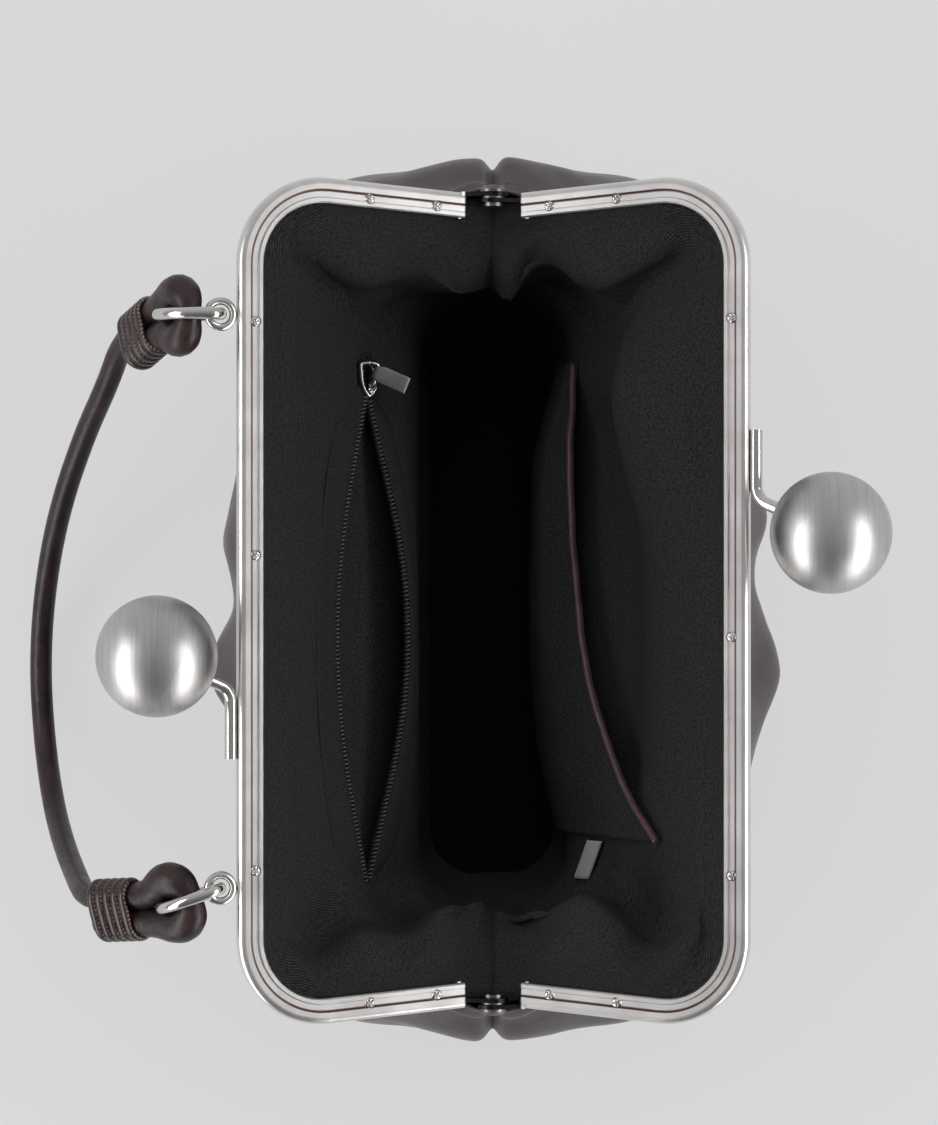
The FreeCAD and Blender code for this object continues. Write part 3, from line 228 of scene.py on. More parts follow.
def closed_curve(corners, count):
    """A smooth closed loop through a few corners."""
    corners = np.array(corners, dtype=float)
    looped = np.concatenate([corners[-1:], corners, corners[:2]])
    points = []
    for t in np.linspace(0, len(corners), count, endpoint=False):
        k = int(t)
        points.append(between(*looped[k:k + 4], t - k))
    return np.array(points)


def smooth_step(low, high, value):
    t = np.clip((np.asarray(value, dtype=float) - low) / (high - low), 0, 1)
    return t * t * (3 - 2 * t)


def bell(value, centre, width):
    return np.exp(-(((np.asarray(value, dtype=float) - centre) / width) ** 2))


NOISE_ROUGH = 0.8
NOISE_STEP = 2.0
NOISE_LAYERS = 3


def fractal(point, scale, seed):
    """Smooth noise from -1 to 1 at a feature size in millimetres."""
    at = Vector(point / scale + np.array((seed, -seed, 2 * seed)))
    return noise.fractal(at, NOISE_ROUGH, NOISE_STEP, NOISE_LAYERS)


# Materials
# Places of the colour sockets on Blender's mix node
MIX_FIRST = 6
MIX_SECOND = 7
MIX_RESULT = 2


class Surface:
    """A procedural material: a principled shader and the nodes that feed it."""

    def __init__(self, name, colour, rough, metal=0.0, **sockets):
        self.material = bpy.data.materials.new(name)
        self.material.use_nodes = True
        self.tree = self.material.node_tree
        self.shader = self.tree.nodes["Principled BSDF"]
        self.normal = None
        self.feed("Base Color", (*colour, 1.0))
        self.feed("Roughness", rough)
        self.feed("Metallic", metal)
        for socket, value in sockets.items():
            self.feed(socket.replace("_", " "), value)

    def join(self, socket, value):
        """Links a socket to another node's socket, or sets its value."""
        if isinstance(value, bpy.types.NodeSocket):
            self.tree.links.new(value, socket)
        else:
            socket.default_value = value

    def feed(self, socket, value):
        self.join(self.shader.inputs[socket], value)

    def node(self, kind, **inputs):
        """A shader node; an underscore in an input's name stands for a space."""
        made = self.tree.nodes.new("ShaderNode" + kind)
        for name, value in inputs.items():
            self.join(made.inputs[name.replace("_", " ")], value)
        return made

    def place(self, output, scale=(1, 1, 1), turn=0.0):
        coords = self.node("TexCoord").outputs[output]
        return self.node("Mapping", Vector=coords, Scale=scale, Rotation=(0, 0, turn)).outputs["Vector"]

    def noise(self, vector, scale, detail=3.0, roughness=0.55, distortion=0.0):
        made = self.node("TexNoise", Vector=vector, Scale=scale, Detail=detail, Roughness=roughness,
                         Distortion=distortion)
        return made.outputs["Fac"]

    def stripes(self, vector, scale, distortion):
        made = self.node("TexWave", Vector=vector, Scale=scale, Distortion=distortion, Detail=1.0,
                         Detail_Scale=2.0)
        return made.outputs["Fac"]

    def range(self, value, low, high, to_low=0.0, to_high=1.0):
        made = self.node("MapRange", Value=value, From_Min=low, From_Max=high, To_Min=to_low, To_Max=to_high)
        return made.outputs["Result"]

    def blend(self, factor, first, second):
        """A mix of two colours, each given as three values or as a socket."""
        made = self.node("Mix", Factor=factor)
        made.data_type = "RGBA"
        for number, value in ((MIX_FIRST, first), (MIX_SECOND, second)):
            self.join(made.inputs[number], (*value, 1.0) if isinstance(value, tuple) else value)
        return made.outputs[MIX_RESULT]

    def math(self, operation, first, second=0.0):
        made = self.node("Math")
        made.operation = operation
        for socket, value in zip(made.inputs, (first, second)):
            self.join(socket, value)
        return made.outputs[0]

    def bump(self, height, strength, depth):
        """Adds relief with a depth in millimetres to the relief that is there."""
        made = self.node("Bump", Strength=strength, Distance=depth * MM, Height=height)
        if self.normal is not None:
            self.join(made.inputs["Normal"], self.normal)
        self.normal = made.outputs["Normal"]
        self.feed("Normal", self.normal)


# Nickel: clouds per metre, and the streaks and stretched gloss of a brushed piece
CLOUD_SCALE = 90.0
STREAK_SCALE = 1500.0
STREAK_STRETCH = (1.0, 0.03, 0.03)
BRUSH_GLOSS = 0.35


def metal(name, pale, dark, rough, grain, brushed=None, depth=0.0):
    """Nickel with a slightly uneven gloss; brushed names the axis that the brush marks go round."""
    made = Surface(name, pale, rough[0], 1.0, Anisotropic=BRUSH_GLOSS if brushed else 0.0)
    speck = made.noise(made.place("Object"), grain, roughness=0.6)
    if brushed:
        stretched = made.place("Object", scale=STREAK_STRETCH)
        cloud = made.noise(stretched, STREAK_SCALE, detail=4.0, roughness=0.7)
        tangent = made.node("Tangent")
        tangent.direction_type = "RADIAL"
        tangent.axis = brushed
        made.feed("Tangent", tangent.outputs["Tangent"])
    else:
        cloud = made.noise(made.place("Object"), CLOUD_SCALE)
    made.feed("Base Color", made.blend(made.range(cloud, 0.35, 0.65), pale, dark))
    made.feed("Roughness", made.range(speck, 0.3, 0.7, *rough))
    if depth:
        made.bump(speck, 0.2, depth)
    return made.material


# Frame: the crease's inset from the outer edge and half width, and the reach of the tongues; the crease gets
# a dark reddish painted shade and the tongues a near black painted shade
CREASE_AT = 3.85
CREASE_HALF = 0.5
CREASE_PAINTED_SHADE = (0.17, 0.105, 0.085)
TONGUE_REACH = 8.6
TONGUE_FADE = 0.4
TONGUE_PAINTED_SHADE = (0.015, 0.015, 0.016)
NICKEL_PALE = (0.78, 0.76, 0.745)
NICKEL_DARK = (0.68, 0.66, 0.645)


def frame_material():
    """Satin nickel with a dark reddish band of painted shade along the crease that runs round the frame, and
    the tongues under the cloth painted near black as shade.
    """
    made = Surface("satin_nickel_brushed", NICKEL_PALE, 0.32, 1.0)
    place = made.place("Object", scale=(1.0 / MM, 1.0 / MM, 1.0 / MM))
    split = made.node("SeparateXYZ", Vector=place).outputs

    def past(value, start):
        return made.math("MAXIMUM", made.math("SUBTRACT", value, start), 0.0)

    def square(value):
        return made.math("POWER", value, 2.0)

    # Reach from the hinge and distance along the purse, in the plane of a frame half
    aside = made.math("ABSOLUTE", split["X"])
    rise = made.math("MULTIPLY", made.math("SUBTRACT", split["Z"], HINGE_Z), math.cos(OPEN))
    reach = made.math("ADD", made.math("MULTIPLY", aside, math.sin(OPEN)), rise)
    taper = made.math("MULTIPLY", past(BEND_Z, reach), math.tan(SLOPE))
    along = made.math("ADD", made.math("ABSOLUTE", split["Y"]), taper)
    squares = made.math("ADD", square(past(along, HALF - CORNER)), square(past(reach, RAIL - CORNER)))
    inset = made.math("SUBTRACT", CORNER, made.math("SQRT", squares))
    away = made.math("ABSOLUTE", made.math("SUBTRACT", inset, CREASE_AT))
    cloud = made.noise(place, CLOUD_SCALE * MM)
    colour = made.blend(made.range(cloud, 0.35, 0.65), NICKEL_PALE, NICKEL_DARK)
    # Painted shade: a dark reddish band along the crease, where the groove lies in shade
    colour = made.blend(made.range(away, CREASE_HALF * 0.5, CREASE_HALF), CREASE_PAINTED_SHADE, colour)
    # Painted shade: the hinge tongues under the cloth are painted near black
    colour = made.blend(made.range(aside, TONGUE_REACH - TONGUE_FADE, TONGUE_REACH), TONGUE_PAINTED_SHADE, colour)
    made.feed("Base Color", colour)
    made.feed("Roughness", made.range(made.noise(place, 0.06, roughness=0.6), 0.3, 0.7, 0.29, 0.35))
    return made.material


def leather(name, pale, dark, rough, grain, crease, **sockets):
    """Grained leather: pebbles, broad creases and a slow change of colour; sizes are per metre."""
    made = Surface(name, dark, rough[0], **sockets)
    place = made.place("Object")
    cloud = made.noise(place, crease * 0.4, detail=4.0, roughness=0.6)
    fold = made.noise(place, crease, detail=5.0, roughness=0.62, distortion=0.6)
    made.feed("Base Color", made.blend(made.range(cloud, 0.35, 0.68), dark, pale))
    made.feed("Roughness", made.range(fold, 0.3, 0.7, *rough))
    made.bump(fold, 0.35, 0.6)
    made.bump(made.node("TexVoronoi", Vector=place, Scale=grain).outputs["Distance"], 0.28, 0.12)
    made.bump(made.noise(place, grain * 2.6, detail=2.0), 0.15, 0.05)
    return made.material


# Cloth: turns of the twill line and of the threads across it, and stripes per pitch of each
TWILL_TURN = math.radians(38.0)
CROSS_TURN = math.radians(64.0)
LINE_SCALE = 0.314
CROSS_SCALE = 0.42


def weave(name, thread, gap, pitch, rough, turn=0.0, **sockets):
    """Cloth with a fine line of threads; its coordinates are millimetres along the sheet."""
    made = Surface(name, thread, rough, **sockets)
    flat = made.place("UV")
    wobble = made.noise(flat, 1.1)
    line = made.stripes(made.place("UV", turn=turn), LINE_SCALE / pitch, 0.5)
    cross = made.stripes(made.place("UV", turn=turn + CROSS_TURN), CROSS_SCALE / pitch, 0.6)
    cloth = made.math("ADD", made.math("MULTIPLY", line, 0.7), made.math("MULTIPLY", cross, 0.3))
    lit = made.math("MULTIPLY", cloth, made.range(wobble, 0.3, 0.7, 0.25, 1.3))
    made.feed("Base Color", made.blend(lit, gap, thread))
    made.bump(cloth, 0.5, 0.18)
    made.bump(made.noise(flat, 0.05), 0.3, 1.0)
    return made.material


STITCH_PITCH = 1.25


def lace_material():
    """Leather lace with worn, stitched edges; U runs along it in millimetres and V round its section."""
    core = (0.018, 0.010, 0.011)
    made = Surface("lace_leather_stitched", core, 0.3)
    place = made.place("Object")
    split = made.node("SeparateXYZ", Vector=made.place("UV")).outputs
    round_it = made.math("MULTIPLY", split["Y"], 2 * math.pi)
    edge = made.range(made.math("ABSOLUTE", made.math("COSINE", round_it)), 0.62, 0.97)
    along = made.math("MULTIPLY", split["X"], 2 * math.pi / STITCH_PITCH)
    stitch = made.range(made.math("SINE", along), -0.2, 0.6)
    wear = made.range(made.noise(place, 420.0), 0.35, 0.6, 0.2, 1.0)
    rim = made.blend(stitch, (0.08, 0.030, 0.030), (0.30, 0.21, 0.19))
    made.feed("Base Color", made.blend(made.math("MULTIPLY", edge, wear), core, rim))
    made.bump(made.math("MULTIPLY", edge, stitch), 0.5, 0.2)
    made.bump(made.noise(place, 1300.0), 0.3, 0.1)
    return made.material


def mottled(name, dark, pale, rough, grain, detail, depth):
    """A plain surface with a fine change of tone and a little relief."""
    made = Surface(name, dark, rough)
    tone = made.noise(made.place("Object"), grain, detail)
    made.feed("Base Color", made.blend(tone, dark, pale))
    made.bump(tone, 0.2, depth)
    return made.material


SATIN = frame_material()
BALL = metal("ball_brushed", (0.54, 0.527, 0.52), (0.45, 0.438, 0.43), (0.40, 0.46), 120.0, brushed="X")
RIVET = metal("rivet_nickel_dull", (0.20, 0.195, 0.19), (0.12, 0.116, 0.112), (0.30, 0.40), 900.0)
WIRE = metal("nickel_wire_polished", (0.66, 0.65, 0.63), (0.56, 0.55, 0.53), (0.10, 0.20), 900.0)
SCREW = metal("screw_steel", (0.62, 0.61, 0.60), (0.48, 0.47, 0.46), (0.14, 0.26), 2000.0)
ZIP_METAL = metal("zip_silver", (0.60, 0.60, 0.59), (0.44, 0.44, 0.43), (0.16, 0.30), 1500.0)
PULL_METAL = metal("zip_pull_gunmetal", (0.12, 0.12, 0.123), (0.08, 0.08, 0.083), (0.30, 0.42), 2500.0,
                   depth=0.02)
BODY_LEATHER = leather("body_leather", (0.048, 0.034, 0.039), (0.023, 0.0165, 0.019),
                       (0.34, 0.5), 900.0, 70.0, Sheen_Weight=0.1)
HANDLE_LEATHER = leather("handle_leather_espresso", (0.030, 0.015, 0.016), (0.010, 0.006, 0.0065),
                         (0.30, 0.46), 1300.0, 260.0, Specular_IOR_Level=0.3)
PIPING_LEATHER = leather("piping_leather_burgundy", (0.050, 0.017, 0.018), (0.024, 0.009, 0.010),
                         (0.34, 0.5), 1500.0, 300.0, Sheen_Weight=0.1)
TWILL = weave("black_twill", (0.031, 0.031, 0.034), (0.0012, 0.0012, 0.0015), 0.60, 0.85, turn=TWILL_TURN,
              Specular_IOR_Level=0.15)
TAPE = weave("zip_tape_black", (0.024, 0.024, 0.026), (0.003, 0.003, 0.003), 0.5, 0.8,
             Specular_IOR_Level=0.15)
GREY_TAPE = weave("seam_tape_grey", (0.25, 0.245, 0.245), (0.15, 0.147, 0.147), 0.4, 0.6, Sheen_Weight=0.2)
LACE = lace_material()
NYLON = mottled("zip_nylon_black", (0.010, 0.010, 0.011), (0.034, 0.034, 0.037), 0.32, 900.0, 2.0, 0.05)
BOARD = mottled("board_grey", (0.12, 0.115, 0.11), (0.2, 0.19, 0.18), 0.8, 700.0, 4.0, 0.1)


# Soft walls: curves round half of the purse
# A place s runs from 0 at the far hinge to 1 at the near one: bar, corner, rail, corner, bar.
END_SHARE = 0.20
CORNER_SHARE = 0.34
# Share of a bar over which a wall leaves the seam at the hinge, and over which it droops there
SEAM_SHARE = 0.14
DROOP_SHARE = 0.20


def in_parts(s):
    """The sign of the end that s is nearer to, and the shares of bar, corner and rail passed."""
    end = np.where(s <= 0.5, 1.0, -1.0)
    near = np.where(s <= 0.5, s, 1.0 - s)
    bar = np.clip(near / END_SHARE, 0, 1)
    corner = np.clip((near - END_SHARE) / (CORNER_SHARE - END_SHARE), 0, 1)
    rail = np.clip((near - CORNER_SHARE) / (0.5 - CORNER_SHARE), 0, 1)
    return end, bar, corner, rail


def round_and_droop(s):
    """How far s is round the corner to the rail, and how far the wall droops at the hinge."""
    end, bar, corner, rail = in_parts(s)
    return np.where(rail > 0, 1.0, corner), bell(bar, 0.0, DROOP_SHARE) * (corner <= 0)


def on_frame(s, inset, below):
    """Points at an inset from the frame's outer edge and a depth below its upper face, front half."""
    end, bar, corner, rail = in_parts(s)
    run = BEND_Z * bar
    y = BEND_Y - (BEND_Z - run) * math.tan(SLOPE) - inset / math.cos(SLOPE)
    angle = -SLOPE + corner * (math.pi / 2 + SLOPE)
    round_y = HALF - CORNER + (CORNER - inset) * np.cos(angle)
    round_u = RAIL - CORNER + (CORNER - inset) * np.sin(angle)
    y = np.where(corner > 0, round_y, y)
    u = np.where(corner > 0, round_u, run)
    y = np.where(rail > 0, (HALF - CORNER) * (1 - rail), y) * end
    u = np.where(rail > 0, RAIL - inset, u)
    seam = smooth_step(0.0, SEAM_SHARE, bar)
    x = -(math.cos(OPEN) * below + math.sin(OPEN) * u) * seam
    z = HINGE_Z + math.cos(OPEN) * u - math.sin(OPEN) * below
    return np.stack([x, y, z], axis=-1)


def at_level(s, level, half_width, half_length, corner_radius):
    """Points of half a rounded outline at one height, front half."""
    end, bar, corner, rail = in_parts(s)
    side = half_width - corner_radius
    far = half_length - corner_radius
    angle = corner * math.pi / 2
    x = np.where(corner > 0, -side - corner_radius * np.sin(angle), -side * bar)
    y = np.where(corner > 0, far + corner_radius * np.cos(angle), half_length)
    y = np.where(rail > 0, far * (1 - rail), y) * end
    return np.stack([x, y, np.broadcast_to(level, s.shape)], axis=-1)


def rear_of(points):
    """The rear half of a wall: mirrored at x = 0, with its columns the other way round."""
    return (points * np.array((-1.0, 1.0, 1.0)))[:, ::-1]


def normals_of(points):
    normal = np.cross(np.gradient(points, axis=1), np.gradient(points, axis=0))
    return normal / np.maximum(np.linalg.norm(normal, axis=2, keepdims=True), 1e-9)


def wrinkled(points, amount, scale, seed):
    """Moves a wall's points along its normal by smooth noise; amount is a height for each point."""
    lift = np.array([[fractal(point, scale, seed) for point in row] for row in points])
    return points + normals_of(points) * (lift * amount)[:, :, None]


# Open zip: how far its lips part, and how the cloth beside them swells and sinks
LENS_FULL = 0.85
LIP_UP = 14.0
LIP_DOWN = 10.5
LIP_LIFT = 9.0
LIP_SWELL = (13.0, 11.0)
LIP_SINK = 2.0
LIP_HOLLOW = (-15.0, 9.0)
# The part of the wall that the zip shapes: along it, and up and down its slope
ZIP_REACH = 90.0
ZIP_SLOPES = (-32.0, 34.0)
# The part of the wall that the hole may lie in
HOLE_X = (-70.0, -10.0)
HOLE_LOW = 30.0


def lens(y):
    """How far the open zip gapes, from 0 at its ends to 1 near its middle."""
    share = np.clip((CHAIN_TOP - np.asarray(y, dtype=float)) / (CHAIN_TOP - CHAIN_LOW), 0, 1)
    return np.sin(math.pi * share) ** LENS_FULL


def lip_swell(slope, y):
    return LIP_LIFT * lens(y) * bell(slope, *LIP_SWELL)


def lip_lift(slope, y):
    """How far the cloth beside the open zip stands out of the wall."""
    return lip_swell(slope, y) - LIP_SINK * lens(y) * bell(slope, *LIP_HOLLOW)


def zip_slope(points):
    """How far down the wall's slope points lie from the zip."""
    return (points - ZIP_AT) @ ZIP_DOWN


def zip_wall(slope, y):
    """Points of the front lining near the zip, from their places down the slope and along the zip."""
    base = ZIP_AT + slope[..., None] * ZIP_DOWN + lip_lift(slope, y)[..., None] * ZIP_OUT
    base[..., 1] = y
    return base


def zip_hole(points):
    """True for points between the lips of the open zip."""
    slope = zip_slope(points)
    x, y, z = (points[:, :, k] for k in range(3))
    on_wall = (x > HOLE_X[0]) & (x < HOLE_X[1]) & (z > HOLE_LOW)
    in_chain = (y < CHAIN_TOP) & (y > CHAIN_LOW)
    return on_wall & in_chain & (slope > -LIP_UP * lens(y)) & (slope < LIP_DOWN * lens(y))


# Lining: curves on the frame, with inset and depth each at the bars, at the rail and added by the droop
LINING_RIM = [
    (5.8, 5.8, -6.0, 2.45, 2.45, 4.6), (9.0, 9.0, -4.0, 2.6, 2.6, 4.8),
    (14.0, 15.4, 0.0, 3.8, 5.2, 7.0), (21.0, 21.1, 0.0, 8.5, 9.5, 11.0),
]
# Curves below: height at the bars, at the rail and added by the droop, half width, half length, corner radius
LINING_LEVELS = [
    (73.0, 72.0, -8.0, 42.1, 99.0, 17.0), (60.0, 60.0, 0.0, 34.5, 98.5, 17.0),
    (45.0, 45.0, 0.0, 25.0, 97.0, 18.0), (22.0, 22.0, 0.0, 22.2, 92.5, 16.0),
    (4.8, 4.8, 0.0, 20.0, 88.0, 14.0),
]
LINING_COLS = 301
LINING_ROWS = 96
LINING_SEEDS = {1: 3.0, -1: 11.0}
LINING_WRINKLE = 30.0
WRINKLE_ALL = 0.5
WRINKLE_ENDS = 1.8
# Where the ends start and are full along the purse, and where the cloth comes loose from the lip
LINING_ENDS = (72.0, 104.0)
LINING_LOOSE = (0.14, 0.30)
LINING_SEAM = 6.0
# Place down the wall, from 0 to 1, and half width of folds, hinge tabs and the roll inside the lip
GATHER_DEPTH = (0.38, 0.2)
FOLD_DEPTH = (0.42, 0.2)
TAB_DEPTH = (0.38, 0.15)
ROLL_DEPTH = (0.2, 0.06)
ROLL_PERIOD = 13.0
# Gathers at both ends: pitch, height and phase of each row of folds, and their slant
GATHERS = [(27.0, 1.5, 0.9), (45.0, 2.2, 2.3)]
GATHER_SLANT = 0.08
GATHER_SHARP = 1.4
# How much the cloth rises for each millimetre that a fold or a tab stands in
GATHER_RISE = 0.5
FOLD_RISE = 0.45
TAB_RISE = 0.3
# Wall (1 front, -1 rear), end (1 far, -1 near), distance from the seam, half width and height of a fold
END_FOLDS = [
    (-1, -1, 26.0, 12.0, 10.0), (1, -1, 13.0, 8.0, 6.0), (-1, 1, 40.0, 11.0, 7.0), (1, 1, 31.0, 16.0, 5.0),
]
HINGE_TAB = 5.0
HINGE_TAB_HALF = 9.0
# Rear wall: how far it leans into the mouth near its far corner, with place and half width
REAR_LEAN = 14.0
LEAN_ALONG = (58.0, 36.0)
LEAN_HEIGHT = (86.0, 13.0)
# How far it hangs back below the lip, so that the slip pocket's mouth is deep
REAR_HANG = 8.5
HANG_HEIGHT = (60.0, 15.0)
HANG_REACH = 70.0
HANG_FADE = 22.0


def lining_wall(side):
    """One lining wall; side is 1 for the front half and -1 for the rear half."""
    s = np.linspace(0, 1, LINING_COLS)
    round_it, droop = round_and_droop(s)
    to_rail = smooth_step(0, 1, round_it)

    def shaped(at_bar, at_rail, by_droop):
        return at_bar + (at_rail - at_bar) * to_rail + by_droop * droop

    curves = [on_frame(s, shaped(*row[:3]), shaped(*row[3:])) for row in LINING_RIM]
    curves += [at_level(s, shaped(*row[:3]), *row[3:]) for row in LINING_LEVELS]
    points = smooth_rows(curves, LINING_ROWS)
    depth = np.linspace(0, 1, LINING_ROWS)[:, None]
    x, y, z = (points[:, :, k].copy() for k in range(3))
    end = np.sign(y)
    ends = smooth_step(*LINING_ENDS, np.abs(y))
    loose = smooth_step(*LINING_LOOSE, depth)
    seam = smooth_step(0.0, LINING_SEAM, np.abs(x))
    seed = LINING_SEEDS[side]

    def push_in(amount, rise):
        points[:, :, 1] -= end * amount
        points[:, :, 2] += amount * rise

    # Gathered folds at both ends, which have more cloth than the open mouth needs
    for pitch, height, turn in GATHERS:
        angle = np.abs(x) * 2 * math.pi / pitch + end * turn + seed + z * GATHER_SLANT
        fold = 1.0 - 2.0 * np.abs(np.sin(angle / 2)) ** GATHER_SHARP
        push_in(ends * loose * seam * bell(depth, *GATHER_DEPTH) * height * (0.6 + fold), GATHER_RISE)
    # Bigger folds that the photograph shows, each on one wall at one end
    for fold_side, fold_end, place, wide, height in END_FOLDS:
        if fold_side == side:
            fold = height * bell(np.abs(x), place, wide) * (end == fold_end)
            push_in(ends * loose * seam * bell(depth, *FOLD_DEPTH) * fold, FOLD_RISE)
    # A tab of cloth that hangs from each hinge
    tab = HINGE_TAB * bell(x, 0.0, HINGE_TAB_HALF) * bell(depth, *TAB_DEPTH)
    push_in(ends * loose * tab, TAB_RISE)
    # A soft roll of cloth just inside the lip
    roll = bell(depth, *ROLL_DEPTH) * seam * (0.6 + 0.5 * np.sin(y / ROLL_PERIOD + seed))
    points -= normals_of(points) * roll[:, :, None]
    if side < 0:
        points[:, :, 0] += REAR_LEAN * bell(y, *LEAN_ALONG) * bell(z, *LEAN_HEIGHT) * loose
        middle = smooth_step(0.0, HANG_FADE, HANG_REACH - np.abs(y))
        points[:, :, 0] -= REAR_HANG * bell(z, *HANG_HEIGHT) * middle * loose
    return wrinkled(points, (WRINKLE_ALL + WRINKLE_ENDS * ends) * loose * seam, LINING_WRINKLE, seed)


def front_lining_wall():
    """The front wall takes the zip's gape: its lips part, and the cloth below stands out."""
    points = lining_wall(1)
    slope = zip_slope(points)
    y = points[:, :, 1]
    near = (np.abs(y) <= ZIP_REACH) & (slope >= ZIP_SLOPES[0]) & (slope <= ZIP_SLOPES[1])
    points = points + ZIP_OUT * (lip_lift(slope, y) * near)[:, :, None]
    keep = ~zip_hole((points[:-1, :-1] + points[:-1, 1:] + points[1:, :-1] + points[1:, 1:]) / 4)
    # The rim of the hole follows the lips exactly
    for i in range(1, keep.shape[0]):
        for j in range(1, keep.shape[1]):
            around = keep[i - 1:i + 1, j - 1:j + 1]
            if around.all() or not around.any():
                continue
            slope = zip_slope(points[i, j])
            lip = (-LIP_UP if slope < 0 else LIP_DOWN) * lens(points[i, j, 1])
            points[i, j] += ZIP_DOWN * (lip - slope)
    return points, keep


# Leather: curves on the frame, with inset and depth and what the droop adds to each
LEATHER_RIM = [(5.9, -5.0, 3.55, 6.0), (8.4, -8.0, 4.4, 6.4)]
# The neck below the frame: its depth and what the droop adds, its inset at the hinge, what the bar adds to
# that, and what the rail and the droop take off
NECK_DEPTH = (11.0, 2.0)
NECK_INSET = 3.0
NECK_BAR = 7.0
NECK_BAR_SHARE = 0.8
NECK_RAIL = 2.3
NECK_DROOP = 3.0
# Curves below: height, half width, half length and corner radius
LEATHER_LEVELS = [
    (72.0, 76.4, 120.5, 38.0), (58.0, 77.2, 128.6, 46.0), (42.0, 77.0, 130.4, 43.0),
    (25.0, 65.2, 120.4, 38.0), (12.0, 53.0, 109.2, 32.0), (1.9, 42.0, 98.0, 28.0),
]
LEATHER_COLS = 241
LEATHER_ROWS = 72
LEATHER_SEEDS = {1: 5.0, -1: 17.0}
LEATHER_WRINKLE = 34.0
LEATHER_WRINKLE_HIGH = 1.1
BELLY_HEIGHT = (65.0, 15.0)
# Lobes beside the rail: place along the purse, half width and height, for the front and the rear wall
LEATHER_LOBES = {1: [(18.0, 13.0, 4.2), (-21.0, 13.0, 8.4)], -1: [(25.0, 13.0, 5.4), (-21.0, 20.0, 10.4)]}
# The ends swell on both sides of the seam at the hinge and dip at the seam
END_SWELL = 7.6
END_SWELL_AT = (4.0, 22.0)
SEAM_DIP = 4.2
SEAM_DIP_HALF = 2.4
# Shares of the corner where the lobes start and where the swell of the end is over
LOBES_FROM = 0.6
SWELL_TO = 0.5
# Wrinkles: heights where they start and are full, height and half height of the band, distance from the seam
WRINKLE_FROM = (44.0, 60.0)
WRINKLE_HEIGHT = (66.0, 24.0)
WRINKLE_SEAM = 5.0


def leather_wall(side):
    """One leather wall with its lobed belly; side is 1 for the front half and -1 for the rear half."""
    s = np.linspace(0, 1, LEATHER_COLS)
    bar = in_parts(s)[1]
    round_it, droop = round_and_droop(s)
    curves = [on_frame(s, inset + drawn * droop, below + sunk * droop)
              for inset, drawn, below, sunk in LEATHER_RIM]
    neck = NECK_INSET + NECK_BAR * smooth_step(0, NECK_BAR_SHARE, bar)
    neck -= NECK_RAIL * smooth_step(0, 1, round_it) + NECK_DROOP * droop
    curves.append(on_frame(s, neck, NECK_DEPTH[0] + NECK_DEPTH[1] * droop))
    curves += [at_level(s, *level) for level in LEATHER_LEVELS]
    points = smooth_rows(curves, LEATHER_ROWS)
    y = points[:, :, 1]
    z = points[:, :, 2]
    high = bell(z, *BELLY_HEIGHT)
    lobes = sum(height * bell(y, place, wide) for place, wide, height in LEATHER_LOBES[side])
    points[:, :, 0] -= high * smooth_step(LOBES_FROM, 1.0, round_it) * lobes
    aside = np.abs(points[:, :, 0])
    hump = END_SWELL * bell(aside, *END_SWELL_AT) - SEAM_DIP * bell(aside, 0.0, SEAM_DIP_HALF)
    points[:, :, 1] += np.sign(y) * (1.0 - smooth_step(0.0, SWELL_TO, round_it)) * high * hump
    creased = smooth_step(*WRINKLE_FROM, z) * bell(z, *WRINKLE_HEIGHT) * smooth_step(0.0, WRINKLE_SEAM, aside)
    return wrinkled(points, LEATHER_WRINKLE_HIGH * creased, LEATHER_WRINKLE, LEATHER_SEEDS[side])


def blended(obj, side):
    """Bakes a wall's placement into its points."""
    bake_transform(obj)


# End gussets: rows and columns taken from the leather, inset at the seam, and what is added beside it
GUSSET_TOP = 20
GUSSET_COLS = 52
GUSSET_INSET = 1.7
GUSSET_DRAW = 6.0
GUSSET_HALF = 36.0


def make_gussets(front, rear):
    """A panel of leather behind each end seam, which fills the end when the purse is shut."""
    for label, first, second in (("far", rear, front), ("near", front, rear)):
        parts = (first[GUSSET_TOP:, -GUSSET_COLS:], second[GUSSET_TOP:, 1:GUSSET_COLS])
        strip = np.concatenate(parts, axis=1)
        draw_in = GUSSET_INSET + GUSSET_DRAW * (strip[:, :, 0] / GUSSET_HALF) ** 2
        strip[:, :, 1] -= np.sign(strip[:, :, 1]) * draw_in
        panel = sheet_object(label + "_end_gusset", strip, BODY_LEATHER, GUSSET_THICK)
        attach(panel, "bag")


STIFFENER_TOP = 40.0
STIFFENER_INSET = 1.9


def make_stiffeners(front, rear):
    """The board inside the foot of each leather wall, following its shape."""
    for name, wall, side in (("front_stiffener_board", front, 1), ("rear_stiffener_board", rear, -1)):
        top_row = int(np.argmax(wall[:, :, 2].mean(axis=1) < STIFFENER_TOP))
        strip = (wall + normals_of(wall) * STIFFENER_INSET)[top_row:-1]
        board = sheet_object(name, strip, BOARD, STIFFENER_THICK)
        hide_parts("wall_stiffener")
        grid_area(strip)
        blended(board, side)


def make_walls():
    front, keep = front_lining_wall()
    rear = rear_of(lining_wall(-1))
    for label, points, hole, side in (("front", front, keep, 1), ("rear", rear, None, -1)):
        cloth = sheet_object(label + "_lining_cloth", points, TWILL, LINING_THICK, hole)
        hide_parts(label + "_lining")
        grid_area(points)
        blended(cloth, side)
    front_skin = leather_wall(1)
    rear_skin = rear_of(leather_wall(-1))
    for label, points, side in (("front", front_skin, 1), ("rear", rear_skin, -1)):
        skin = sheet_object(label + "_leather", points, BODY_LEATHER, LEATHER_THICK)
        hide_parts(label + "_panel")
        grid_area(points)
        blended(skin, side)
    make_gussets(front_skin, rear_skin)
    make_stiffeners(front_skin, rear_skin)


make_walls()


# Zip of the inner pocket: two coils on tapes that part at the open stretch, and the pouch behind
COIL_RADIUS = 0.85
COIL_PITCH = 1.28
COIL_THREAD = 0.34
COIL_SIDES = 6
COIL_STEPS = 10
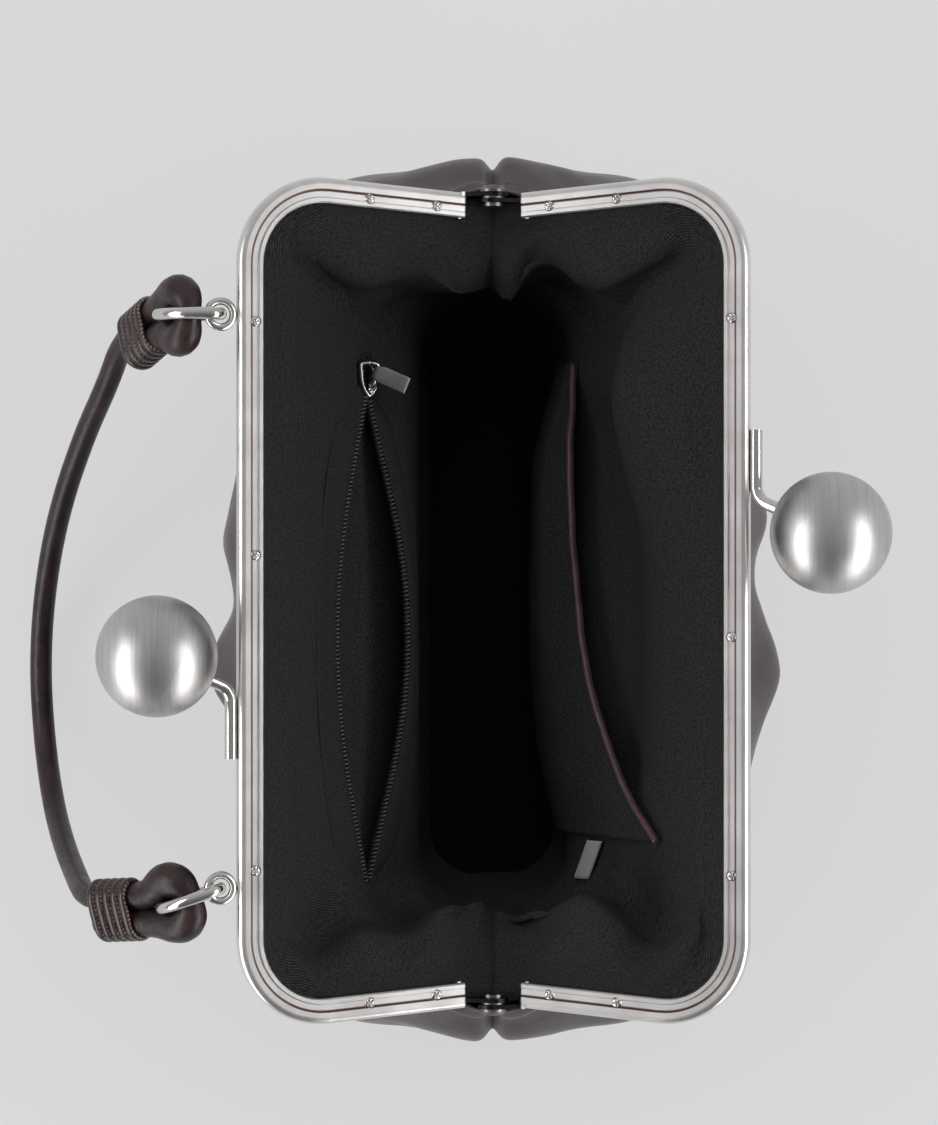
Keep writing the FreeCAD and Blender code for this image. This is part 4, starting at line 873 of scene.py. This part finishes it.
# How far a coil reaches past its lip, and as shares of its radius its lift and its width
COIL_PAST = 0.5
COIL_LIFT = 0.6
COIL_WIDE = 1.25
TAPE_WIDTH = 10.5
TAPE_SPARE = 3.0
# Share of a tape's width at its ends, how fast it widens, its lift at the lip and its fall behind it
TAPE_END = 0.3
TAPE_FLARE = 2.6
TAPE_LIFT = 0.75
TAPE_FALL = 1.3
LIP_MEET = 1.1
# Pouch: its reach up and down the slope, what it has to spare past the chain, and how deep it lies
POUCH_SLOPES = (-22.0, 26.0)
POUCH_SPARE = (5.0, 4.0)
POUCH_DEPTH = 2.2
POUCH_BELLY = 4.0
POUCH_BELLY_HALF = 13.0


def lip_slope(y, way):
    """How far a lip lies from the zip's closed line; way is -1 for the upper lip and 1 for the lower."""
    reach = LIP_UP if way < 0 else LIP_DOWN
    return way * (LIP_MEET + (reach - LIP_MEET) * lens(y))


def coil_object(name, way):
    """A nylon coil: a fine thread wound along the lip."""
    y = np.linspace(CHAIN_TOP, CHAIN_LOW, 160)
    lip = zip_wall(lip_slope(y, way) - way * COIL_PAST, y) + ZIP_OUT * (COIL_RADIUS * COIL_LIFT)
    along = run_along(lip)
    places = np.arange(0.0, along[-1], COIL_PITCH / COIL_STEPS)
    line = np.stack([np.interp(places, along, lip[:, k]) for k in range(3)], axis=1)
    turn = (places / COIL_PITCH * 2 * math.pi)[:, None]
    wound = ZIP_OUT * np.sin(turn) + ZIP_DOWN * COIL_WIDE * np.cos(turn)
    section = oval(COIL_THREAD, COIL_THREAD, COIL_SIDES)
    return tube_object(name, line + wound * COIL_RADIUS, section, NYLON, ZIP_OUT)


def tape_object(name, way):
    """A tape from the lip back under the lining, narrower at its ends."""
    y = np.linspace(CHAIN_TOP + TAPE_SPARE, CHAIN_LOW - TAPE_SPARE, 120)
    width = TAPE_WIDTH * np.minimum(1.0, TAPE_END + TAPE_FLARE * lens(y))
    rows = []
    for share in np.linspace(0, 1, 6):
        line = zip_wall(lip_slope(y, way) + way * width * share, y)
        rows.append(line + ZIP_OUT * (TAPE_LIFT - TAPE_FALL * share))
    return sheet_object(name, np.array(rows), TAPE, TAPE_THICK)


def pouch_object():
    """The pouch's near cloth, which shows dark through the open zip."""
    y = np.linspace(CHAIN_TOP + POUCH_SPARE[0], CHAIN_LOW - POUCH_SPARE[1], 60)
    rows = []
    for slope in np.linspace(*POUCH_SLOPES, 24):
        sink = POUCH_DEPTH + POUCH_BELLY * lens(y) * bell(slope, 0.0, POUCH_BELLY_HALF) + lip_swell(slope, y)
        rows.append(zip_wall(np.full_like(y, slope), y) - ZIP_OUT * sink[:, None])
    return sheet_object("pocket_pouch", np.array(rows), TWILL, POUCH_THICK)


def make_zip():
    for label, way in (("upper", -1.0), ("lower", 1.0)):
        coil = coil_object(label + "_coil_teeth", way)
        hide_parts(label + "_zip_coil")
        tape = tape_object(label + "_tape_cloth", way)
        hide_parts(label + "_zip_tape")
        for piece in (coil, tape):
            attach(piece, "bag")
            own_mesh(piece)
    pouch = pouch_object()
    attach(pouch, "bag")
    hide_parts("zip_pocket")


# Slider: its outline, and the size and rise of its rings from the edge to the hollow middle
SHIELD = [
    (-3.1, 5.2), (-3.5, 1.6), (-2.7, -2.4), (-0.8, -5.2), (0.8, -5.2), (2.7, -2.4), (3.5, 1.6), (3.1, 5.2),
]
SLIDER_RINGS = [
    (1.0, -1.0), (1.03, 0.2), (0.97, 0.95), (0.86, 1.0), (0.76, 0.7), (0.66, 0.15), (0.4, 0.05), (0.02, 0.0),
]
SLIDER_DRAW = 0.94
SLIDER_FACE = np.array((0.60, 0.0, 0.80))
SLIDER_ACROSS = np.array((0.80, 0.0, -0.60))
SLIDER_SEAT = np.array((-37.6, SLIDER_Y, 69.4))
# Bail over the slider: where it starts along it, its run and its rise
BAIL_START = 4.6
BAIL_RUN = 7.6
BAIL_SEAT = 0.4
BAIL_RISE = 3.0
BAIL_ASIDE = 0.2
BAIL_SECTION = oval(0.75, 0.42, 12)


def slider_object():
    """The slider: a shield-shaped plate with a raised rim and a hollow middle, and the bail over it."""
    outline = closed_curve(SHIELD, 72)
    rings = []
    for grow, rise in SLIDER_RINGS:
        draw = 1 - SLIDER_DRAW * (1 - grow)
        rings.append([SLIDER_SEAT + SLIDER_ACROSS * (a * grow) + ALONG * (b * draw) + SLIDER_FACE * rise
                      for a, b in outline])
    plate = np.array(rings)
    t = np.linspace(0, 1, 26)
    rise = BAIL_SEAT + BAIL_RISE * np.sin(math.pi * t) ** 0.6
    arch = (SLIDER_SEAT + SLIDER_ACROSS * BAIL_ASIDE + np.outer(BAIL_START - BAIL_RUN * t, ALONG)
            + np.outer(rise, SLIDER_FACE))
    bail = sweep(arch, BAIL_SECTION, SLIDER_FACE)
    points = np.concatenate([plate.reshape(-1, 3), bail.reshape(-1, 3)])
    faces = grid_faces(*plate.shape[:2], wrap=True)
    faces += grid_faces(*bail.shape[:2], wrap=True, first=plate.shape[0] * plate.shape[1])
    return mesh_object("zip_slider_body", points, faces, ZIP_METAL)


PULL_EYE = np.array((-36.2, 69.2, 72.6))
PULL_TIP = np.array((-25.6, 64.8, 68.6))
PULL_FACE = np.array((0.30, -0.12, 0.94))
PULL_WIDE = 5.4
PULL_THICK = 0.9
# Share of the length over which an end is rounded, and how square the section is
PULL_ROUNDED = 0.06
PULL_SQUARE = 0.35


def pull_object():
    """The pull: a flat tab with rounded edges that hangs from the bail to one side."""
    way = unit(PULL_TIP - PULL_EYE)
    face = unit(PULL_FACE - way * np.dot(PULL_FACE, way))
    across = np.cross(face, way)
    section = [[math.copysign(abs(c) ** PULL_SQUARE, c) for c in pair] for pair in oval(1.0, 1.0, 28)]
    rings = []
    for t in np.linspace(0, 1, 24):
        end = math.sqrt(min(1.0, min(t, 1 - t) / PULL_ROUNDED))
        half_wide = PULL_WIDE / 2 * (0.72 + 0.28 * smooth_step(0.0, 0.25, t)) * (0.86 + 0.14 * end)
        half_thick = PULL_THICK / 2 * (0.35 + 0.65 * end)
        place = PULL_EYE + (PULL_TIP - PULL_EYE) * t
        rings.append([place + across * (half_wide * a) + face * (half_thick * b) for a, b in section])
    return ring_object("zip_pull_tab", np.array(rings), PULL_METAL)


def make_slider():
    slider = slider_object()
    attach(slider, "slider")
    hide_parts("zip_slider")
    pull = pull_object()
    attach(pull, "pull")
    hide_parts("zip_pull")


make_zip()
make_slider()


# Slip pocket on the rear wall: the wall's lean above and below its bend, and stations of the pocket's cloth
# A station has its place along the purse, the height of the edge, and stand-offs at the edge, bend and foot.
BEND_HEIGHT = 45.0
BEND_X = 25.0
WALL_LEAN = 0.633
FOOT_LEAN = 5.0 / 40.5
SLIP_STATIONS = [
    (73.0, 48.5, 1.0, 1.0, 1.0), (45.0, 54.0, 5.7, 8.5, 7.5), (12.0, 55.0, 5.1, 9.8, 9.0),
    (-25.0, 60.0, 3.7, 9.0, 8.5), (-54.6, 72.0, 2.2, 5.0, 5.0), (-72.4, 86.0, 1.0, 1.0, 1.0),
]
SLIP_FOOT = 24.0
SLIP_GAP = 0.8
# The row above the foot, the row sewn down below it and its stand-off, and the share where the wrinkles fade
SLIP_ABOVE = 8.0
SLIP_BELOW = 7.0
SLIP_SEWN = 1.2
SLIP_FADE = 0.12
SLIP_WRINKLE_HIGH = 0.7
SLIP_COLS = 110
SLIP_ROWS = 44
SLIP_WRINKLE = 26.0
SLIP_SEED = 23.0
PIPING_RADIUS = 1.05
PIPING_SHIFT = np.array((-0.3, 0.0, 0.5))


def wall_x(height):
    lean = np.where(height > BEND_HEIGHT, WALL_LEAN, FOOT_LEAN)
    return BEND_X + (height - BEND_HEIGHT) * lean


def slip_grid():
    """The cloth of the slip pocket, through its stations."""
    columns = []
    for y, edge_z, edge_off, bend_off, foot_off in SLIP_STATIONS:
        levels = [
            (edge_z, edge_off), ((edge_z + BEND_HEIGHT) / 2, (edge_off + bend_off) / 2 + 0.6),
            (BEND_HEIGHT, bend_off), (SLIP_FOOT + SLIP_ABOVE, (bend_off + foot_off) / 2 + 0.8),
            (SLIP_FOOT, foot_off - 0.5), (SLIP_FOOT - SLIP_BELOW, SLIP_SEWN),
        ]
        columns.append([(wall_x(z) - SLIP_GAP - off, y, z) for z, off in levels])
    points = smooth_rows(np.swapaxes(smooth_rows(columns, SLIP_COLS), 0, 1), SLIP_ROWS)
    share = np.linspace(0, 1, SLIP_COLS)
    inside = smooth_step(0, SLIP_FADE, share) * smooth_step(0, SLIP_FADE, 1 - share)
    return wrinkled(points, SLIP_WRINKLE_HIGH * inside, SLIP_WRINKLE, SLIP_SEED)


def make_slip_pocket():
    points = slip_grid()
    cloth = sheet_object("slip_pocket_cloth", points, TWILL, LINING_THICK)
    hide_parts("slip_pocket")
    section = oval(PIPING_RADIUS, PIPING_RADIUS, 14)
    piping = tube_object("slip_piping", points[0] + PIPING_SHIFT, section, PIPING_LEATHER, UP)
    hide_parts("slip_pocket_piping")
    for piece in (cloth, piping):
        blended(piece, -1)


# Seam tab: height and width of its upper edge, place and length along the purse, and how far it slopes
TAB_TOP = 61.0
TAB_WIDE = 6.5
TAB_Y = -74.0
TAB_LONG = 12.0
TAB_FALL = 5.0
# Its stand-off from the wall at the seam, and what its fold and its loose end add
TAB_OFF = 1.6
TAB_FOLD = 1.4
TAB_LOOSE = 0.8


def make_seam_tab():
    """A blank folded tab of grey tape, sewn in at its upper edge."""
    along = np.linspace(0, 1, 14)
    rows = []
    for share in np.linspace(0, 1, 8):
        z = TAB_TOP - TAB_WIDE * share - TAB_FALL * along
        off = TAB_OFF + TAB_FOLD * np.sin(math.pi * share) + TAB_LOOSE * along
        rows.append(np.stack([wall_x(z) - off, TAB_Y - TAB_LONG * along, z], axis=1))
    tab = sheet_object("seam_tab_tape", np.array(rows), GREY_TAPE, TAB_THICK)
    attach(tab, "bag")
    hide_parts("seam_tab")


make_slip_pocket()
make_seam_tab()


# Frame screws with a domed head and a cross recess
SCREW_INSET = 4.95
SCREW_RADIUS = 1.6
SCREW_RISE = 0.62
SCREW_ROUND = 2.6
SCREW_SEAT = 0.9
SCREW_TURNS = (0.6, 1.1)
END_SCREWS = (17.6, 38.6)
FRONT_RAIL_SCREWS = (82.0, 13.5, -79.0)
REAR_RAIL_SCREWS = (80.5, 10.5, -83.0)
RECESS_HALF = 0.27
RECESS_REACH = 1.05
RECESS_DEPTH = 0.6
HEAD_RINGS = 14
HEAD_SPOKES = 56


def head_height(x, y):
    radius = np.hypot(x, y)
    dome = SCREW_RISE * np.sqrt(np.maximum(0.0, 1.0 - (radius / SCREW_RADIUS) ** SCREW_ROUND))
    arm = np.minimum(np.abs(x), np.abs(y))
    cut = 1.0 - smooth_step(RECESS_HALF * 0.7, RECESS_HALF * 1.3, arm)
    cut *= 1.0 - smooth_step(RECESS_REACH * 0.9, RECESS_REACH * 1.1, radius)
    return dome - RECESS_DEPTH * cut


def screws_object(name, places, side):
    """All the heads of one frame half; places are (along, up the frame) pairs in the half's own plane."""
    across = ALONG * side
    up = np.array((-math.sin(OPEN) * side, 0.0, math.cos(OPEN)))
    normal = np.array((math.cos(OPEN) * side, 0.0, math.sin(OPEN)))
    hinge = np.array((0.0, 0.0, HINGE_Z))
    radius = (SCREW_RADIUS * np.arange(HEAD_RINGS + 1) / HEAD_RINGS)[:, None]
    angle = 2 * math.pi * np.arange(HEAD_SPOKES) / HEAD_SPOKES
    a = (radius * np.cos(angle)).ravel()
    b = (radius * np.sin(angle)).ravel()
    heads = []
    faces = []
    for number, (y, u) in enumerate(places):
        seat = hinge + across * y + up * u - normal * SCREW_SEAT
        turn = SCREW_TURNS[0] + SCREW_TURNS[1] * number
        c = math.cos(turn)
        d = math.sin(turn)
        height = head_height(a * c + b * d, b * c - a * d)
        heads.append(seat + np.outer(a, across) + np.outer(b, up) + np.outer(height, normal))
        faces += grid_faces(HEAD_RINGS + 1, HEAD_SPOKES, wrap=True, first=number * len(a))
    return mesh_object(name, np.concatenate(heads), faces, SCREW)


def make_screws():
    ends = []
    for sign in (1, -1):
        for u in END_SCREWS:
            ends.append((sign * (BEND_Y - (BEND_Z - u) * math.tan(SLOPE) - SCREW_INSET), u))
    for label, rail_places, side in (("front", FRONT_RAIL_SCREWS, 1), ("rear", REAR_RAIL_SCREWS, -1)):
        places = ends + [(y, RAIL - SCREW_INSET) for y in rail_places]
        heads = screws_object(label + "_screw_heads", places, side)
        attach(heads, label + "_half")
        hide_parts(label + "_frame_screws")


make_screws()


# Handle: one rolled leather cord, doubled back through both rings
HANDLE_ROUTE = [
    (-107.6, 73.5, 80.5), (-97.0, 80.6, 97.5), (-93.1, 76.4, 103.8), (-90.3, 78.6, 108.3),
    (-89.1, 84.0, 110.2), (-90.3, 89.4, 108.3), (-93.1, 91.6, 103.8), (-98.2, 87.4, 95.5),
    (-112.2, 78.2, 73.1), (-117.5, 66.5, 61.0), (-126.5, 51.0, 44.5), (-136.3, 28.0, 26.5),
    (-142.6, 3.5, 11.0), (-145.0, -22.0, 4.1), (-143.0, -46.0, 8.5), (-138.8, -64.5, 22.0),
    (-133.2, -76.5, 42.0), (-127.0, -84.6, 64.0), (-122.6, -88.6, 82.0), (-117.0, -88.9, 89.8),
    (-101.5, -87.4, 100.6), (-96.8, -81.7, 105.6), (-92.0, -82.5, 108.8), (-88.6, -87.1, 110.1),
    (-88.6, -92.7, 108.6), (-91.9, -96.1, 105.3), (-100.1, -94.6, 99.8), (-117.6, -96.3, 87.6),
]
HANDLE_RADIUS = 3.5
# How much fuller the leather stands at the seven points of the route that fold round a ring
RING_LOBES = (1.25, 1.55, 1.5, 0.95, 1.5, 1.55, 1.25)
RING_STARTS = (1, 20)


def make_handle():
    """The handle, a spline with the route's points as its control points."""
    curve = bpy.data.curves.new("handle_line", "CURVE")
    curve.dimensions = "3D"
    spline = curve.splines.new("NURBS")
    spline.points.add(len(HANDLE_ROUTE) - 1)
    for point, place in zip(spline.points, HANDLE_ROUTE):
        point.co = (*(c * MM for c in place), 1.0)
    for start in RING_STARTS:
        for number, lobe in enumerate(RING_LOBES, start):
            spline.points[number].radius = lobe
    spline.order_u = 3
    spline.use_endpoint_u = True
    curve.resolution_u = 16
    curve.bevel_depth = HANDLE_RADIUS * MM
    curve.bevel_resolution = 6
    curve.use_fill_caps = True
    curve.materials.append(HANDLE_LEATHER)
    handle = collect(bpy.data.objects.new("handle_leather", curve))
    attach(handle, "handle")
    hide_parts("handle_cord")
    return handle


# Lace windings that bind the doubled ends of the handle: half the distance of the two strands, the
# radius of the path round a strand, the first turn's place, pitch, turns, and the lace's half sizes
STRAND_STEP = 3.65
LACE_ROUND = 5.05
LACE_START = 5.15
LACE_PITCH = 2.98
LACE_TURNS = 5
LACE_STEPS = 64
LACE_SIDES = 18
LACE_WIDE = 1.5
LACE_THICK = 0.95
# Each winding: name, end of the loop, and the ways along the strands and from strand to strand
WINDINGS = [
    ("upper", (-97.6, 84.0, 96.5), (-0.50028, -0.33018, -0.80044), (0.17500, -0.94392, 0.27999)),
    ("lower", (-100.8, -91.0, 100.2), (-0.81849, -0.07985, -0.56895), (0.17867, -0.97657, -0.11996)),
]


def winding_path(end, way, level):
    """The lace's path round two strands: half turns joined by straight crossings, a pitch on each turn."""
    up = np.cross(way, level)
    half_round = math.pi * LACE_ROUND
    crossing = 2 * STRAND_STEP
    loop = 2 * (half_round + crossing)
    points = []
    for run in np.linspace(0, loop * LACE_TURNS, LACE_TURNS * LACE_STEPS + 1):
        place = run % loop
        # The second half of a loop is the first half turned half way round
        flip = 1.0 if place < loop / 2 else -1.0
        place = place % (loop / 2)
        if place < half_round:
            angle = -math.pi / 2 + place / LACE_ROUND
            a = STRAND_STEP + LACE_ROUND * math.cos(angle)
            b = LACE_ROUND * math.sin(angle)
        else:
            a = STRAND_STEP - (place - half_round)
            b = LACE_ROUND
        along = LACE_START + LACE_PITCH * run / loop
        points.append(end + way * along + (level * a + up * b) * flip)
    return np.array(points)


def make_windings():
    made = []
    for label, *vectors in WINDINGS:
        end, way, level = (np.array(v) for v in vectors)
        path = winding_path(end, way, level)
        outward = unit(path - end - np.outer((path - end) @ way, way))
        aside = np.cross(unit(np.gradient(path, axis=0)), outward)
        section = oval(LACE_WIDE, LACE_THICK, LACE_SIDES)
        rings = np.stack([path + aside * a + outward * b for a, b in section], axis=1)
        around = np.arange(LACE_SIDES) / LACE_SIDES
        uvs = paired(run_along(path)[:, None], around[None, :])
        lace = ring_object(label + "_lace", rings, LACE, uvs)
        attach(lace, "handle")
        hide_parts(label + "_wrap")
        made.append(lace)
    return made


handle = make_handle()
laces = make_windings()


# Pieces that keep their CAD shape
CAD_MATERIALS = {
    "front_frame": SATIN, "rear_frame": SATIN, "front_ball": BALL, "rear_ball": BALL, "front_stem": WIRE,
    "rear_stem": WIRE, "handle_eyelets": WIRE, "upper_ring": WIRE, "lower_ring": WIRE, "hinge_rivets": RIVET,
    "hinge_washers": RIVET, "zip_stops": ZIP_METAL, "base_panel": BODY_LEATHER, "base_board": BOARD,
    "lining_base": TWILL,
}
for node, material in CAD_MATERIALS.items():
    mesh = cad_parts[node].data
    mesh.materials.clear()
    mesh.materials.append(material)


# Stage, lights and camera
FLOOR_TONE = (0.665, 0.665, 0.665)
FLOOR_TONES = ((0.66, 0.66, 0.66), (0.67, 0.67, 0.67))
FLOOR_GLOW = 0.86
FLOOR_REACH = 4.0
WORLD_TINT = (0.97, 0.98, 1.0, 1.0)
WORLD_NEAR = 0.16
WORLD_FAR = 0.62
LAMP_AIM = Vector((0.0, 0.0, 0.08))


def make_floor():
    """A pale floor that shows its plain tone to the camera and to reflections, and keeps a soft shadow."""
    made = Surface("floor_pale_grey", FLOOR_TONE, 0.9, Specular_IOR_Level=0.1)
    tone = made.noise(made.place("Object"), 3.0, detail=2.0)
    made.feed("Base Color", made.blend(tone, *FLOOR_TONES))
    glow = made.node("Emission", Color=(*FLOOR_TONE, 1.0), Strength=1.0)
    rays = made.node("LightPath").outputs
    seen = made.math("MAXIMUM", rays["Is Camera Ray"], rays["Is Glossy Ray"])
    seen = made.math("MAXIMUM", seen, rays["Is Transmission Ray"])
    mixed = made.node("MixShader", Fac=made.math("MULTIPLY", seen, FLOOR_GLOW))
    made.join(mixed.inputs[1], made.shader.outputs["BSDF"])
    made.join(mixed.inputs[2], glow.outputs["Emission"])
    made.join(made.tree.nodes["Material Output"].inputs["Surface"], mixed.outputs["Shader"])
    mesh = bpy.data.meshes.new("floor")
    corners = [(-1, -1), (1, -1), (1, 1), (-1, 1)]
    mesh.from_pydata([(x * FLOOR_REACH, y * FLOOR_REACH, 0) for x, y in corners], [], [(0, 1, 2, 3)])
    mesh.materials.append(made.material)
    collect(bpy.data.objects.new("floor", mesh))


def softbox(name, low, high, wide, power, in_metal=True):
    """A strip light whose long side runs from a low place to a high one, turned to the purse."""
    low = Vector(low)
    high = Vector(high)
    place = (low + high) / 2
    back = (place - LAMP_AIM).normalized()
    along = ((high - low) - back * (high - low).dot(back)).normalized()
    lamp = bpy.data.lights.new(name, "AREA")
    lamp.shape = "RECTANGLE"
    lamp.size = wide
    lamp.size_y = (high - low).length
    lamp.energy = power
    obj = collect(bpy.data.objects.new(name, lamp))
    turn = Matrix((along.cross(back), along, back)).transposed()
    obj.matrix_world = Matrix.Translation(place) @ turn.to_4x4()
    obj.visible_glossy = in_metal


def make_world():
    """Soft light that is brighter from the far side than from the near side."""
    world = bpy.data.worlds.new("studio")
    world.use_nodes = True
    tree = world.node_tree
    coords = tree.nodes.new("ShaderNodeTexCoord")
    split = tree.nodes.new("ShaderNodeSeparateXYZ")
    level = tree.nodes.new("ShaderNodeMapRange")
    span = {"From Min": -0.6, "From Max": 0.9, "To Min": WORLD_NEAR, "To Max": WORLD_FAR}
    for socket, value in span.items():
        level.inputs[socket].default_value = value
    back = tree.nodes["Background"]
    back.inputs["Color"].default_value = WORLD_TINT
    tree.links.new(coords.outputs["Generated"], split.inputs["Vector"])
    tree.links.new(split.outputs["Y"], level.inputs["Value"])
    tree.links.new(level.outputs["Result"], back.inputs["Strength"])
    bpy.context.scene.world = world


def make_camera():
    lens_data = bpy.data.cameras.new("camera")
    lens_data.sensor_width = SENSOR
    lens_data.sensor_fit = "AUTO"
    lens_data.lens = SENSOR * FOCAL_PIXELS / PHOTO_TALL
    lens_data.clip_start = 0.05
    lens_data.clip_end = 20.0
    camera = collect(bpy.data.objects.new("camera", lens_data))
    camera.location = tuple(c * MM for c in CAMERA_AT)
    bpy.context.scene.camera = camera


make_floor()
make_camera()
softbox("left_softbox", (-0.80, -1.30, 0.10), (-1.25, 0.45, 1.0), 0.45, 16.0)
softbox("right_softbox", (0.70, -1.35, 0.10), (1.20, 0.45, 1.0), 0.42, 16.0)
softbox("far_softbox", (0.0, 1.5, 0.9), (0.0, 0.4, 2.2), 2.4, 20.0, in_metal=False)
make_world()
bpy.context.scene.view_settings.view_transform = "Standard"
